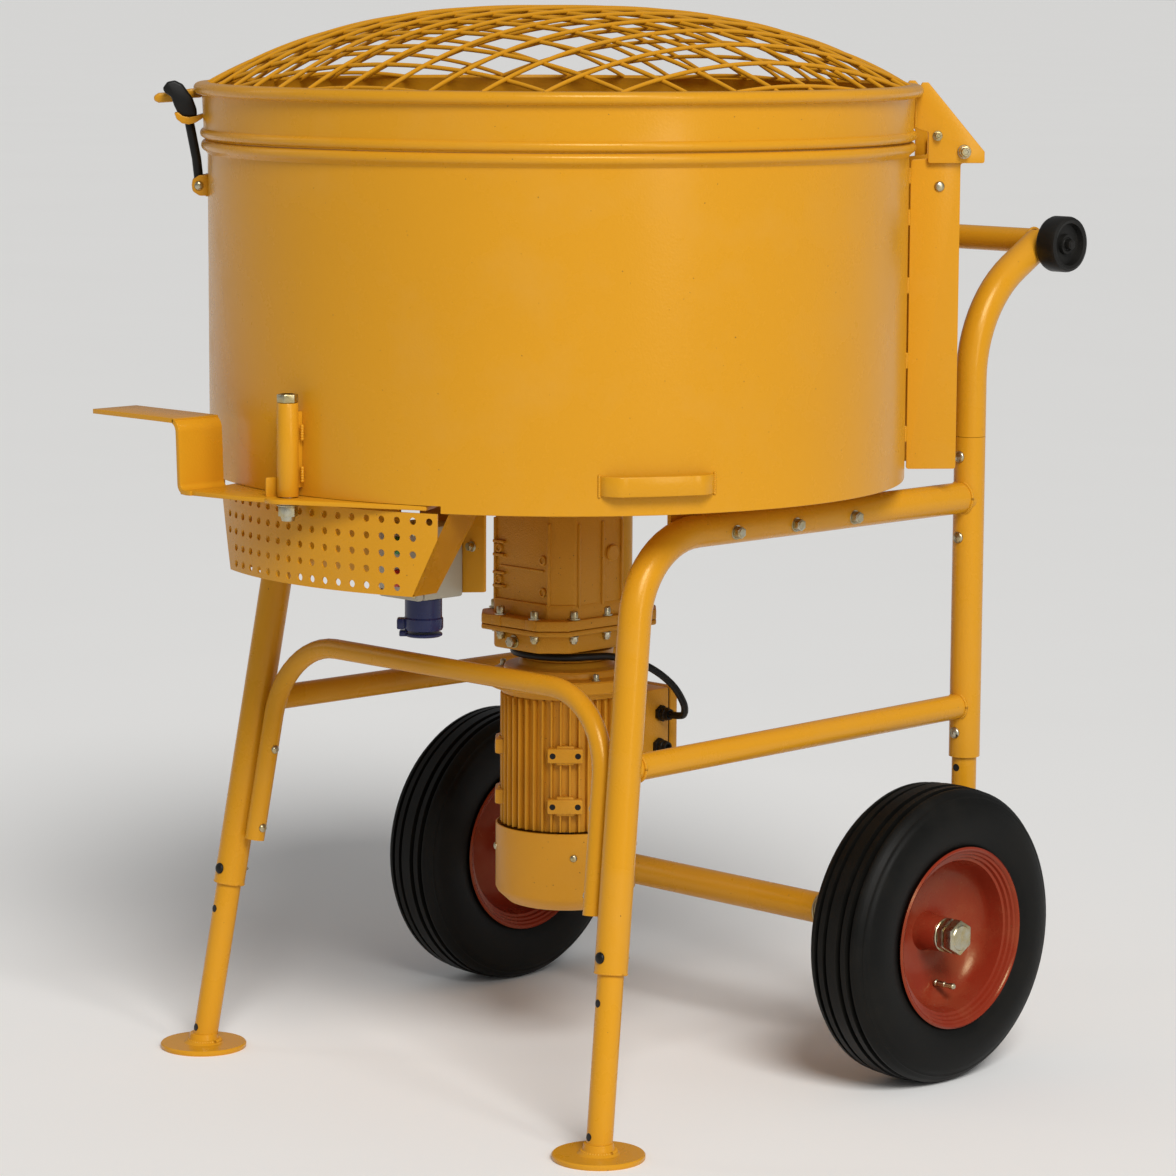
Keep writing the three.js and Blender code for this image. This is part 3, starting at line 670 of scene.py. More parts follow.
for name, side in SIDES:
    rear = Vector((RAIL_X * side, POST_Y - BIG_R * 0.4, RAIL_Z))
    leg = tube([leg_point(LEG_END_Z, side), leg_point(RAIL_Z, side), rear], BIG_R, LEG_BEND, 32, 12)
    painted(f"leg_tube_{name}", leg, stands_for=[f"leg_rail_{name}"])
    bore = tube([leg_point(LOWER_Z - 60, side), leg_point(LOWER_Z + 60, side)], SMALL_R + 0.8)
    tie = carved(tube([leg_point(LOWER_Z, side), (RAIL_X * side, POST_Y - BIG_R * 0.4, LOWER_Z)], SMALL_R), bore)
    painted(f"tie_tube_{name}", tie, stands_for=[f"lower_rail_{name}"])
    post = tube([(RAIL_X * side, POST_Y, POST_LOW.z), (RAIL_X * side, POST_Y, POST_HIGH.z)], BIG_R, 1, 32)
    painted(f"post_tube_{name}", post, stands_for=[f"rear_post_{name}"])
print("side frames", 2, "rail height", round(RAIL_Z))

# %% Front hoop
HOOP_INSET = 38
hoop_low = span("front_hoop")[0].z
hoop_top = span("front_hoop")[1].z - HOOP_R
hoop = tube([leg_point(hoop_low, -1, HOOP_INSET), leg_point(hoop_top, -1, HOOP_INSET),
             leg_point(hoop_top, 1, HOOP_INSET), leg_point(hoop_low, 1, HOOP_INSET)], HOOP_R, 110, 28, 12)
painted("hoop_tube", hoop, stands_for=["front_hoop"])
print("hoop top", round(hoop_top))

# %% [markdown]
# ## The push handle
# Two tubes plug into the rear posts, sweep back and carry a cross bar. A roller at each elbow lets the machine be
# tipped onto its back over a kerb. The rollers are turned rubber with a recess for the bolt.

# %% Handle
BAR_Y = middle("handle_crossbar").y
BAR_Z = middle("handle_crossbar").z
GRIP_BEND = 170
KNEE_Z = 1025
for name, side in SIDES:
    elbow = Vector((RAIL_X * side, BAR_Y - 4, BAR_Z - 2))
    arm = tube([(RAIL_X * side, POST_Y, POST_HIGH.z + 0.6), (RAIL_X * side, POST_Y, KNEE_Z), elbow],
               BIG_R, GRIP_BEND, 32, 12)
    spigot = tube([(RAIL_X * side, POST_Y, 700), (RAIL_X * side, POST_Y, POST_HIGH.z + 30)], 17.6)
    stub = moved(rod(9, 0, 34), turn(90 * side, "Y"), shift(RAIL_X * side, elbow.y, elbow.z))
    boss = moved(rod(19, 0, 20.5), turn(90 * side, "Y"), shift(RAIL_X * side, elbow.y, elbow.z))
    painted(f"handle_arm_{name}", joined(arm, spigot, stub, boss), stands_for=[f"handle_tube_{name}"])
reach = RAIL_X - 12
painted("handle_bar", moved(rod(SMALL_R, -reach, reach, 32), turn(90, "Y"), shift(0, BAR_Y, BAR_Z)),
        stands_for=["handle_crossbar"])

# %% Rollers
ROLLER = [(9.5, -14), (28, -14), (30, -12), (33, -14.5), (36.5, -12.5), (38, -9), (38, 13), (36.5, 17), (33, 18.5),
          (29, 17), (27, 9), (14, 8), (13, 13), (9.5, 13)]
for name, side in SIDES:
    centre = middle(f"handle_roller_{name}")
    roller = moved(lathe(ROLLER, 56), turn(90 * side, "Y"), shift(*centre))
    piece(f"roller_{name}", roller, black_rubber, f"roller_{name}", [f"handle_roller_{name}"])
    face = centre + Vector((11 * side, 0, 0))
    fasten(f"roller_bolt_{name}", hex_bolt(13), [(face, (side, 0, 0))], f"roller_{name}", black_rubber)
print("rollers", 2)

# %% [markdown]
# ## Welds and bolts on the frame
# Tubes meet in fillet welds, and the drum is bolted to the rails with hexagon bolts through the tube. Dome-headed
# bolts hold the handle and clamp the rear tubes. The holes for them show as dark dots where they are empty: black
# discs of painted shade.

# %% Frame welds
seams = []
for name, side in SIDES:
    face_y = POST_Y - BIG_R
    seams.append(ring_seam((RAIL_X * side, face_y + 3, RAIL_Z), (0, 1, 0), BIG_R + 0.5))
    seams.append(ring_seam((RAIL_X * side, face_y + 3, LOWER_Z), (0, 1, 0), SMALL_R + 0.5))
    start = leg_point(LOWER_Z, side)
    seams.append(ring_seam(start + Vector((0, BIG_R, 0)), (0, 1, 0), SMALL_R + 0.5))
weld("frame_welds", seams, drop=2.4)
elbow_seams = [ring_seam((reach * side, BAR_Y, BAR_Z), (1, 0, 0), SMALL_R + 0.4) for _, side in SIDES]
weld("handle_welds", elbow_seams, drop=2.2)
print("seams", len(seams) + len(elbow_seams))

# %% Frame fasteners
RAIL_BOLT_Y = (-27, 86, 199)
POST_BOLT_Z = (444, 713, 823)
rail_places = []
post_places = []
for name, side in SIDES:
    for y in RAIL_BOLT_Y:
        rail_places.append((Vector(((RAIL_X + BIG_R - 1.5) * side, y, RAIL_Z - 4)), (side, 0, 0)))
    for z in POST_BOLT_Z:
        post_places.append((Vector((RAIL_X * side, POST_Y - BIG_R + 0.4, z)), (0, -1, 0)))
fasten("drum_bolts", hex_bolt(14), rail_places)
fasten("post_bolts", dome_bolt(8), post_places)
hoop_places = []
for side, z in ((-1, 311), (-1, 419), (1, 317), (1, 425)):
    inner = leg_point(z, side, HOOP_INSET)
    hoop_places.append((inner + Vector((-HOOP_R * side * 0.97, 0, 0)), (-side, 0, 0)))
fasten("hoop_screws", dome_bolt(6), hoop_places)
print("fasteners", len(rail_places) + len(post_places) + len(hoop_places))

# %% [markdown]
# ## Feet
# A thinner tube slides in each leg and ends in a welded round plate. It is drilled in steps for the height,
# and a sprung button and a pointed clamp bolt hold it. The drilled holes are black discs of painted shade let
# into the tube's face.

# %% Feet
SLIDE_R = 16.85
HOLE_HEIGHTS = (26, 191)
FOOT_TOP = span("leg_foot_right")[1].z
PLATE_R = 59


# A black disc that paints the shade inside an empty drilled hole.
def hole_shade_disc(r):
    return lathe([(0, -1), (r, -1), (r, 0.15), (r * 0.8, 0.3), (0, 0.3)], 20)


def square_to(axis, way):
    """The direction nearest to a way that is square to an axis."""
    return (Vector(way) - axis * Vector(way).dot(axis)).normalized()


for name, side in SIDES:
    foot = leg_point(0, side)
    stem = tube([leg_point(4, side), leg_point(FOOT_TOP - 5, side)], SLIDE_R)
    plate = moved(lathe([(0, 0), (PLATE_R - 1, 0), (PLATE_R, 1.5), (PLATE_R, 5.5), (PLATE_R - 1.5, 7), (0, 7)], 64),
                  shift(foot.x, foot.y, 0))
    fillet = moved(lathe([(12, 6), (28, 6.5), (21, 11), (18.5, 20), (12, 20)], 40), shift(*leg_point(0, side)))
    painted(f"foot_{name}", joined(stem, plate, fillet), f"foot_{name}", [f"leg_foot_{name}"])
    lean = Vector(JOINTS["foot_right_height"]["axis"])
    lean.x *= side
    front, across = square_to(lean, (-0.22, -1, 0)), square_to(lean, (0, -1, 0))
    spots = [(leg_point(z, side) + front * (SLIDE_R - 0.1), front) for z in HOLE_HEIGHTS]
    # Black discs of painted shade stand for the empty height holes in the foot tube.
    fasten(f"foot_holes_{name}", hole_shade_disc(5.2), spots, f"foot_{name}", black_rubber)
    clamp = leg_point(LEG_END_Z + 20, side)
    fasten(f"leg_button_{name}", dome_bolt(7.4), [(clamp + across * (BIG_R - 0.3), across)], "frame", black_rubber)
    tip = lathe([(0, 0), (5.5, 0), (5, 2.5), (4.2, 3), (4.2, 5), (1.2, 9.5), (0, 9.8)], 20)
    fasten(f"leg_clamp_{name}", tip, [(clamp - across * (BIG_R - 0.3), -across)])
    weld(f"foot_weld_{name}", [ring_seam(leg_point(9, side), (0, 0, 1), 21.5)], f"foot_{name}", 3.2)
collars = [ring_seam(leg_point(LEG_END_Z + 1, side), leg_point(300, side) - leg_point(200, side), BIG_R - 1.2)
           for _, side in SIDES]
weld("leg_end_lips", collars, drop=1.8)
print("feet", 2, "top", round(FOOT_TOP))

# %% [markdown]
# ## Axle
# The rear tubes also telescope: a pair of thinner tubes slides in the posts, and a plate from each carries the axle
# tube. Wire snap rings sit on the axle. The whole carrier is one welded piece, so it is one object with its bead
# beside it.

# %% Axle carrier
axle_low, axle_high = span("axle_carrier")
WHEEL = in_mm(JOINTS["wheel_right_spin"]["pos_m"])
STUB_R = 12.4
STUB_END = WHEEL.x + 24
PLATE_X = 321
plate_outline = rounded([(WHEEL.y - 26, WHEEL.z - 26), (WHEEL.y + 30, WHEEL.z - 26), (POST_Y + 17, WHEEL.z - 8),
                         (POST_Y + 17, WHEEL.z + 60), (POST_Y - 20, WHEEL.z + 60), (WHEEL.y - 14, WHEEL.z + 27)], 12)
carrier = [moved(rod(BIG_R, -316, 316, 40), turn(90, "Y"), shift(0, WHEEL.y, WHEEL.z)),
           moved(rod(STUB_R, -STUB_END, STUB_END, 32), turn(90, "Y"), shift(0, WHEEL.y, WHEEL.z))]
for name, side in SIDES:
    inner = tube([(RAIL_X * side, POST_Y, 190), (RAIL_X * side, POST_Y, axle_high.z)], SLIDE_R)
    gusset = moved(slab(plate_outline, -5, 5, 1.0), turn(90, "X"), turn(90, "Z"), shift(PLATE_X * side, 0, 0))
    carrier += [inner, gusset]
painted("axle_frame", joined(*carrier), "axle", ["axle_carrier"])
axle_seams = [ring_seam((316 * side, WHEEL.y, WHEEL.z), (1, 0, 0), BIG_R + 0.5) for _, side in SIDES]
weld("axle_welds", axle_seams, "axle", 2.4)
# Black discs of painted shade stand for the empty spare holes in the sliding tubes.
spare = [(Vector((RAIL_X * side, POST_Y - SLIDE_R + 0.1, z)), (0, -1, 0)) for _, side in SIDES for z in (395, 330)]
fasten("axle_holes", hole_shade_disc(5.2), spare, "axle", black_rubber)

# %% Snap rings
rings = []
for _, side in SIDES:
    for k in range(3):
        hoop_path = ring_seam((side * (220 + 3.4 * k), WHEEL.y, WHEEL.z), (1, 0.04 * k, 0.03), BIG_R + 1.6, steps=40)
        rings.append(tube(hoop_path, 1.5, 0.1, 8, 2, fastener_zinc))
piece("snap_rings", joined(*rings), fastener_zinc, "axle")
print("axle width", round(axle_high.x - axle_low.x))

# %% [markdown]
# ## Wheels
# A 400 mm pneumatic wheel: a tyre with five ribs of tread and a smooth side wall, on a pressed steel rim in red
# enamel. The rim's disc is dished, with a rolled flange, a hub and a stub of valve. Both are turned profiles.

# %% Tyre and rim profiles
TYRE_R = (span("tyre_right")[1].z - span("tyre_right")[0].z) / 2
HALF = 54


def tyre_profile():
    """Half of the section from bead to crown, with ribs, mirrored to the other side."""
    crown = TYRE_R
    half = [(104, 36), (112, 42), (122, 47.5), (126, 50.5), (140, 53.2), (155, HALF), (168, 53), (178, 50), (183, 48.5),
            (184, 46.5), (188, 45.5), (189, 43), (193, 41), (194, 38.5), (197.5, 35), (197.5, 31), (191, 30), (191, 25),
            (199, 24), (199, 15.5), (192, 14.5), (192, 9.5), (crown, 8.5), (crown, 2.5)]
    return half + [(r, -z) for r, z in reversed(half)]


FLANGE = [(122.5, 53), (120, 55), (117.2, 54), (115.7, 50.5), (112.6, 49.6), (111.2, 46), (108, 45), (106.5, 41),
          (103, 40), (101.2, 33), (99, 20)]  # the pressed steps of one side, from the lip inwards
OUTSIDE = [(96, 10), (84, -1), (60, -9), (38, -12), (27, -9), (24, -2), (23, 23), (21, 25), (13.4, 25)]
INSIDE = [(13.4, -50), (26, -50), (28, -47), (28, -16), (60, -13), (86, -5), (96, -12)]
RIM = (INSIDE + [(r, -z) for r, z in reversed(FLANGE)]
       + [(119, -49), (104, -34), (103.4, -30), (101, 0), (103.4, 30), (104, 34), (119, 49)] + FLANGE + OUTSIDE)
VALVE_R = 74
VALVE_TURN = 11
VALVE = [(0, 0), (5, 0), (5, 2), (4, 3), (4, 16), (3.2, 17), (3.2, 24), (4.2, 25), (4.2, 31), (3, 32), (0, 32)]
for name, side in SIDES:
    to_wheel = (turn(90 * side, "Y"), shift(WHEEL.x * side, WHEEL.y, WHEEL.z))
    piece(f"tyre_smooth_{name}", moved(lathe(tyre_profile(), 96), *to_wheel), tyre_rubber, f"wheel_{name}",
          [f"tyre_{name}"], 50)
    piece(f"rim_{name}", moved(lathe(RIM, 96), *to_wheel), rim_paint, f"wheel_{name}",
          [f"wheel_rim_{name}"], 50)
    valve_way = (shift(VALVE_R, 0, -1), turn(VALVE_TURN))
    piece(f"valve_{name}", moved(lathe(VALVE, 20), *valve_way, *to_wheel), fastener_zinc, f"wheel_{name}")
    outside = Vector(((WHEEL.x + 25) * side, WHEEL.y, WHEEL.z))
    hub_bolt = joined(rod(23, 0, 3, 40, 1), hexagon(42, 3, 13), rod(17, 12, 16), hexagon(42, 15, 28),
                      lathe([(0, 26), (19, 26), (16, 29.5), (0, 29.5)], 32))
    fasten(f"wheel_nut_{name}", hub_bolt, [(outside, (side, 0, 0))], f"wheel_{name}")
print("tyre radius", round(TYRE_R))

# %% [markdown]
# ## Drum
# The drum is rolled 3 mm sheet with a swaged bead round its mouth. It is turned as one closed section, then a notch
# is cut low in the wall, where the gate's plate passes. The floor plate is let in above the skirt.

# %% Drum shell
shell_low, shell_high = span("drum_shell")
WALL_R = floor_box[1][0] * 1000 + 4.3
FLOOR_LOW, FLOOR_HIGH = span("drum_floor")
BEAD_Z = shell_high.z - 8
bead = arc(WALL_R + 1, BEAD_Z, 7.6, -70, 90, 8)
wall_section = [(WALL_R - 3.5, shell_low.z + 0.5), (WALL_R - 3, shell_low.z), (WALL_R - 0.5, shell_low.z),
                (WALL_R, shell_low.z + 0.6), (WALL_R, BEAD_Z - 11)] + bead + [(WALL_R - 4, shell_high.z - 1),
                                                                            (WALL_R - 4, BEAD_Z - 12)]


def band(r0, r1, start, end, z0, z1, steps=24, edge=0.0):
    """A piece of ring between two radii and two turns."""
    return slab(arc(0, 0, r0, start, end, steps) + arc(0, 0, r1, end, start, steps), z0, z1, edge)


notch = band(WALL_R - 20, WALL_R + 20, 245.5, 297.5, shell_low.z - 5, FLOOR_LOW.z + 0.4)
painted("drum_wall", carved(lathe(wall_section, 160), notch), stands_for=["drum_shell"])
print("drum radius", round(WALL_R))

# %% [markdown]
# A step bar is welded low on the wall, where a boot or a hand goes when the machine is tipped.
# It is flat bar bent twice at each end, so it is a band between two radii with its ends turned in.

# %% Step bar
STEP_Z = 831
STEP_H = 25
bar_line = [Vector(p) for p in arc(0, 0, WALL_R + 14, -35.2, -22.2, 10)]


def strip(line, thickness):
    """An outline a thickness wide that follows a line of 2D points."""
    left = []
    right = []
    for i, here in enumerate(line):
        along = line[min(i + 1, len(line) - 1)] - line[max(i - 1, 0)]
        normal = Vector((-along.y, along.x)).normalized() * thickness / 2
        left.append(tuple(here + normal))
        right.append(tuple(here - normal))
    return left + right[::-1]


def smooth_line(points, each=6):
    """A smooth line through points, as a Catmull-Rom spline."""
    padded = [points[0] * 2 - points[1]] + list(points) + [points[-1] * 2 - points[-2]]
    line = []
    for a, b, c, d in zip(padded, padded[1:], padded[2:], padded[3:]):
        for k in range(each):
            t = k / each
            line.append(0.5 * (2 * b + (c - a) * t + (2 * a - 5 * b + 4 * c - d) * t * t
                               + (3 * b - a - 3 * c + d) * t ** 3))
    return line + [points[-1]]


def polar(r, degrees):
    return Vector((r * math.cos(math.radians(degrees)), r * math.sin(math.radians(degrees))))


step_line = smooth_line([polar(WALL_R - 1, -37.6), polar(WALL_R + 7, -36.8)] + bar_line
                        + [polar(WALL_R + 7, -20.7), polar(WALL_R - 1, -19.9)], 4)
painted("step_bar", slab(strip(step_line, 6), STEP_Z, STEP_Z + STEP_H, 1.6))
step_seams = [[Vector((*polar(WALL_R + 0.5, a), STEP_Z + k * STEP_H / 6)) for k in range(7)] for a in (-38.0, -19.5)]
weld("step_welds", step_seams, drop=2.2)
print("step bar points", len(step_line))

# %% [markdown]
# ## Drum floor and mixing tools
# Inside, the floor is lined with bolted wear plates and the hub carries three paddles and a scraper for the wall.
# They show through the grille and through the open lid, so they are full shapes, each with its clamp bolts.

# %% Floor
GATE_PIVOT = in_mm(JOINTS["gate_swing"]["pos_m"])
OUTLET = Vector((8, -375))
OUTLET_R = 72


def outlet_tool(r):
    return moved(rod(r, FLOOR_LOW.z - 10, FLOOR_HIGH.z + 10, 64, 0), shift(OUTLET.x, OUTLET.y, 0))


floor_disc = lathe([(62, FLOOR_LOW.z), (WALL_R - 4.5, FLOOR_LOW.z), (WALL_R - 4.5, FLOOR_HIGH.z - 2),
                    (62, FLOOR_HIGH.z - 2)], 120)
painted("floor_plate", carved(floor_disc, outlet_tool(OUTLET_R)), stands_for=["drum_floor"])
liner = []
for k in range(6):
    start = 60 * k + 0.4
    sector = slab(arc(0, 0, 64, start, start + 59.2, 12) + arc(0, 0, WALL_R - 6, start + 59.2, start, 24),
                  FLOOR_HIGH.z - 1.9, FLOOR_HIGH.z, 0.3)
    liner.append(carved(sector, outlet_tool(OUTLET_R + 0.5)) if k in (3, 4, 5) else sector)
piece("wear_plates", joined(*liner), tool_steel, "frame")
liner_places = [(Vector((*polar(r, 60 * k + a), FLOOR_HIGH.z - 0.1)), (0, 0, 1))
                for k in range(6) for r, a in ((110, 30), (290, 10), (290, 50), (430, 30)) if (k, r) != (4, 430)]
fasten("liner_screws", rod(6, -1, 0.5, 20, 0.2), liner_places, finish=tool_steel)
print("wear plates", len(liner))

# %% Rotor
hub_low, hub_high = span("rotor_hub")
HUB_R = 70
hub = [(20.6, hub_low.z), (HUB_R - 2, hub_low.z), (HUB_R, hub_low.z + 2), (HUB_R, 950), (66, 962), (56, 980),
       (48, 990), (30, 1000), (18, 1004), (16, hub_high.z - 1), (15, hub_high.z), (0, hub_high.z), (0, 991),
       (20.6, 989)]
piece("hub_cap", lathe(hub, 64), tool_steel, "rotor", ["rotor_hub"])
PADDLE_R = (165, 275, 385)
clamp_places = []
for k, r in enumerate(PADDLE_R):
    place = turn(30 + 120 * k)
    lug = rounded([(68, 903), (r - 16, 905), (r - 12, 868), (r + 12, 868), (r + 12, 930), (68, 932)], 6)
    painted(f"arm_{k + 1}", moved(upright(lug, 20, 1.5), place), "rotor", [f"mixing_arm_{k + 1}"])
    blade = rounded([(r - 56, 826), (r + 56, 826), (r + 56, 862), (r + 14, 900), (r - 14, 900), (r - 56, 862)], 7)
    piece(f"blade_{k + 1}", moved(upright(blade, 7.6, 1.0), shift(0, 14.3, 0), place), tool_steel, "rotor",
          [f"paddle_{k + 1}"])
    for x, z in ((r - 6, 880), (r + 6, 893)):
        clamp_places.append((place @ Vector((x, 18.2, z)), place.to_3x3() @ Vector((0, 1, 0))))
scraper = rounded([(68, 938), (436, 938), (436, 829), (451.5, 829), (451.5, 1019), (436, 1019), (436, 958),
                   (68, 958)], 4)
piece("scraper_blade", moved(upright(scraper, 12, 1.2), turn(90)), tool_steel, "rotor",
      ["wall_scraper"])
fasten("paddle_bolts", hex_bolt(9, False), clamp_places, "rotor", tool_steel)
print("paddles", len(PADDLE_R))

# %% [markdown]
# ## Lid
# The lid is a rolled ring with a bead at its foot and a fatter roll at its top, on which the expanded metal dome
# sits. The ring is a turned section. The dome follows a rule, so a tree makes it: two families of strands, each
# strand scaled to the chord it spans, all lifted onto the dome by a formula, then given a rounded section.

# %% Lid ring
RING_LOW = span("lid_ring")[0].z
TOP_ROLL_Z = 1317.5
lid_section = (arc(WALL_R + 3.2, RING_LOW + 6.7, 6.6, -75, 70, 8)
               + [(WALL_R + 5.2, RING_LOW + 15), (WALL_R + 7, TOP_ROLL_Z - 9)]
               + arc(WALL_R + 10, TOP_ROLL_Z, 7.9, -60, 100, 9)
               + [(WALL_R + 2, TOP_ROLL_Z + 8), (WALL_R - 2, TOP_ROLL_Z + 8), (WALL_R - 3, TOP_ROLL_Z + 4),
                  (WALL_R + 4, TOP_ROLL_Z - 8), (WALL_R + 1.8, RING_LOW + 14), (WALL_R - 1, RING_LOW + 8),
                  (WALL_R + 1, RING_LOW + 1)])
painted("lid_band", lathe(lid_section, 160), "lid", ["lid_ring"])
print("lid section", len(lid_section))

# %% Grille tree
def build_grille(graph, start, given):
    families = []
    for sign in (-1.0, 1.0):
        count = given["Strands"]
        first = (count - 1) * given["Spacing"] * -0.5
        seat = graph.node("ShaderNodeCombineXYZ", {}, {1: first})
        pace = graph.node("ShaderNodeCombineXYZ", {}, {1: given["Spacing"]})
        rows = graph.node("GeometryNodeMeshLine", {}, {"Count": count, "Start Location": seat, "Offset": pace})
        across = graph.node("ShaderNodeSeparateXYZ", {}, {0: graph.node("GeometryNodeInputPosition")}, 1)
        chord = (given["Plan Radius"] ** 2.0 - across ** 2.0) ** 0.5
        size = graph.node("ShaderNodeCombineXYZ", {}, {0: chord, 1: 1.0, 2: 1.0})
        strand = graph.node("GeometryNodeMeshLine", {},
                            {"Count": 45, "Start Location": (-1, 0, 0), "Offset": (2 / 44, 0, 0)})
        laid = graph.node("GeometryNodeInstanceOnPoints", {}, {"Points": rows, "Instance": strand, "Scale": size})
        angle = graph.node("ShaderNodeCombineXYZ", {}, {2: given["Turn"] + given["Slope"] * sign})
        real = graph.node("GeometryNodeRealizeInstances", {}, {"Geometry": laid})
        lift = graph.node("ShaderNodeCombineXYZ", {}, {2: given["Thickness"] * sign * 0.36})
        families.append(graph.node("GeometryNodeTransform", {},
                                   {"Geometry": real, "Translation": lift, "Rotation": angle}))
    join = graph.tree.nodes.new("GeometryNodeJoinGeometry")
    for family in families:
        graph.tree.links.new(family.socket, join.inputs[0])
    flat = Signal(graph, join.outputs[0])
    here = graph.node("GeometryNodeInputPosition")
    x = graph.node("ShaderNodeSeparateXYZ", {}, {0: here}, 0)
    y = graph.node("ShaderNodeSeparateXYZ", {}, {0: here}, 1)
    reach_out = (x * x + y * y) ** 0.5 / given["Plan Radius"]
    height = given["Top"] - given["Rise"] * reach_out ** given["Fullness"]
    raised = graph.node("ShaderNodeCombineXYZ", {}, {2: height})
    dome = graph.node("GeometryNodeSetPosition", {}, {"Geometry": flat, "Offset": raised})
    wire = graph.node("GeometryNodeMeshToCurve", {}, {"Mesh": dome})
    level = graph.node("GeometryNodeSetCurveNormal", {"mode": "Z_UP"}, {"Curve": wire})
    disc = graph.node("GeometryNodeCurvePrimitiveCircle", {"mode": "RADIUS"}, {"Resolution": 10, "Radius": 1.0})
    section = graph.node("ShaderNodeCombineXYZ", {},
                         {0: given["Thickness"] * 0.5, 1: given["Width"] * 0.5, 2: 1.0})
    oval = graph.node("GeometryNodeTransform", {}, {"Geometry": disc, "Scale": section})
    return graph.node("GeometryNodeCurveToMesh", {}, {"Curve": level, "Profile Curve": oval, "Fill Caps": True})


GRILLE_INPUTS = {"Strands": int, "Spacing": float, "Plan Radius": float, "Slope": float, "Turn": float, "Top": float,
                 "Rise": float, "Fullness": float, "Width": float, "Thickness": float, "Finish": bpy.types.Material}
grille_tree = geometry_tree("expanded_metal_dome", GRILLE_INPUTS, build_grille)
print("grille inputs", len(GRILLE_INPUTS))

# %% Grille
hinge = in_mm(JOINTS["lid_hinge"]["pos_m"])
HINGE_TURN = math.atan2(hinge.y, hinge.x)
LONG_WAY = 95
SHORT_WAY = 70
slope = math.atan2(SHORT_WAY, LONG_WAY)
spacing = LONG_WAY * math.sin(slope)
GRILLE_R = 462
strands = 2 * int(GRILLE_R / spacing) + 1
STRAND_T = 4.2
top_z = span("lid_grille")[1].z - STRAND_T - 0.9
values = {"Strands": strands, "Spacing": spacing, "Plan Radius": GRILLE_R, "Slope": slope, "Turn": HINGE_TURN,
          "Top": top_z, "Rise": top_z - 1322, "Fullness": 2.6, "Width": 5.8, "Thickness": STRAND_T,
          "Finish": sheet_paint}
painted("grille_dome", grow(grille_tree, [(0, 0, 0)], [], values), "lid", ["lid_grille"], 60)
print("strands each way", strands, "spacing", round(spacing, 1))

# %% [markdown]
# ## Hinge
# Behind the drum a folded sheet column stiffens the wall and carries the lid's pivot between its ears.
# Two cheek plates on the lid straddle it. The sheet edges are softened, and tack welds run down the wall.

# %% Hinge column
HINGE_R = math.hypot(hinge.x, hinge.y)
HINGE_Z = hinge.z
column_base = span("hinge_column")[0].z
to_hinge = turn(math.degrees(HINGE_TURN))
side_plate = [(WALL_R + 0.6, column_base), (530, column_base), (530, 1221), (548, 1224), (548, 1252), (500, 1252),
              (500, 1229), (WALL_R + 0.6, 1226)]
ear_hole = moved(rod(9.4, -70, 70, 32, 0), turn(90, "X"), shift(HINGE_R, 0, HINGE_Z))
walls = [moved(upright(rounded(side_plate, 3, 2), 3, 0.5), shift(0, y, 0)) for y in (-46.5, 46.5)]
back = block(527, 530, -47, 47, column_base, 1221, 0.8)
painted("hinge_box", moved(carved(joined(*walls, back), ear_hole), to_hinge), stands_for=["hinge_column"])
tacks = []
for z in (862, 960, 1060, 1150, 1205):
    for y in (-48.6, 48.6):
        radius = math.sqrt((WALL_R + 0.8) ** 2 - y * y)
        tacks.append([to_hinge @ Vector((radius + 0.6, y, z + dz)) for dz in (-9, 0, 9)])
weld("hinge_tacks", tacks, drop=2.0)
print("tack welds", len(tacks))

# %% Lid cheeks
cheek = [(WALL_R + 13, 1328), (484, 1328), (560.5, 1237), (560.5, 1222), (485, 1222), (485, 1263), (WALL_R + 5, 1268),
         (WALL_R + 5, 1312)]
cheeks = [moved(upright(rounded(cheek, 3, 3), 4, 0.8), shift(0, y, 0)) for y in (-54, 54)]
pivot = moved(rod(8, -60, 60, 32), turn(90, "X"), shift(HINGE_R, 0, HINGE_Z))
painted("lid_cheeks", moved(joined(*cheeks, pivot), to_hinge), "lid", ["lid_hinge_bracket"])


def both_faces(place, x, y, z):
    """The two places at +y and -y of a frame, each facing outwards."""
    return [(place @ Vector((x, y * s, z)), place.to_3x3() @ Vector((0, s, 0))) for s in (-1, 1)]


fasten("hinge_nuts", lock_nut(14, 4.5), both_faces(to_hinge, HINGE_R, 56, HINGE_Z), "lid")
fasten("cheek_nuts", lock_nut(10, 3), both_faces(to_hinge, 497, 56, 1258), "lid")
fasten("column_screws", dome_bolt(7), both_faces(to_hinge, 502, 48, 1191))
cheek_seams = [[to_hinge @ Vector((WALL_R + 4.5, y, z)) for z in range(1270, 1312, 6)] for y in (-56.5, 56.5)]
weld("cheek_welds", cheek_seams, "lid", 2.0)
print("hinge at radius", round(HINGE_R))

# %% [markdown]
# ## Latch
# A moulded rubber strap pivots on a pin low on the drum. Its round stem drops into a fork on the lid's ring and its
# fat head pulls down on it. A thin finger beside it is what the hand lifts the lid by.

# %% Latch
latch = in_mm(JOINTS["latch_swing"]["pos_m"])
LATCH_R = math.hypot(latch.x, latch.y)
LATCH_Z = latch.z
to_latch = turn(math.degrees(math.atan2(latch.y, latch.x)))
stem_path = [Vector((LATCH_R, 0, LATCH_Z + 6)), Vector((LATCH_R + 3, 0, 1225)), Vector((LATCH_R + 13, 0, 1278))]
stem = tube(stem_path, 6.2, 20, 20, 4, black_rubber)
eye = moved(lathe([(4.8, -10), (8, -10), (8.6, -8), (8.6, 8), (8, 10), (4.8, 10)], 32), turn(90, "X"),
            shift(LATCH_R, 0, LATCH_Z))
head_outline = rounded([(521, 1317), (515, 1325), (505, 1327), (495, 1322), (482, 1304), (477, 1290), (476, 1280),
                        (499, 1280), (506, 1294), (510, 1306), (518, 1311)], 6)
head = upright(head_outline, 26, 5)
piece("latch_rubber", moved(joined(stem, eye, head), to_latch), black_rubber, "latch",
      ["latch_strap"], 50)
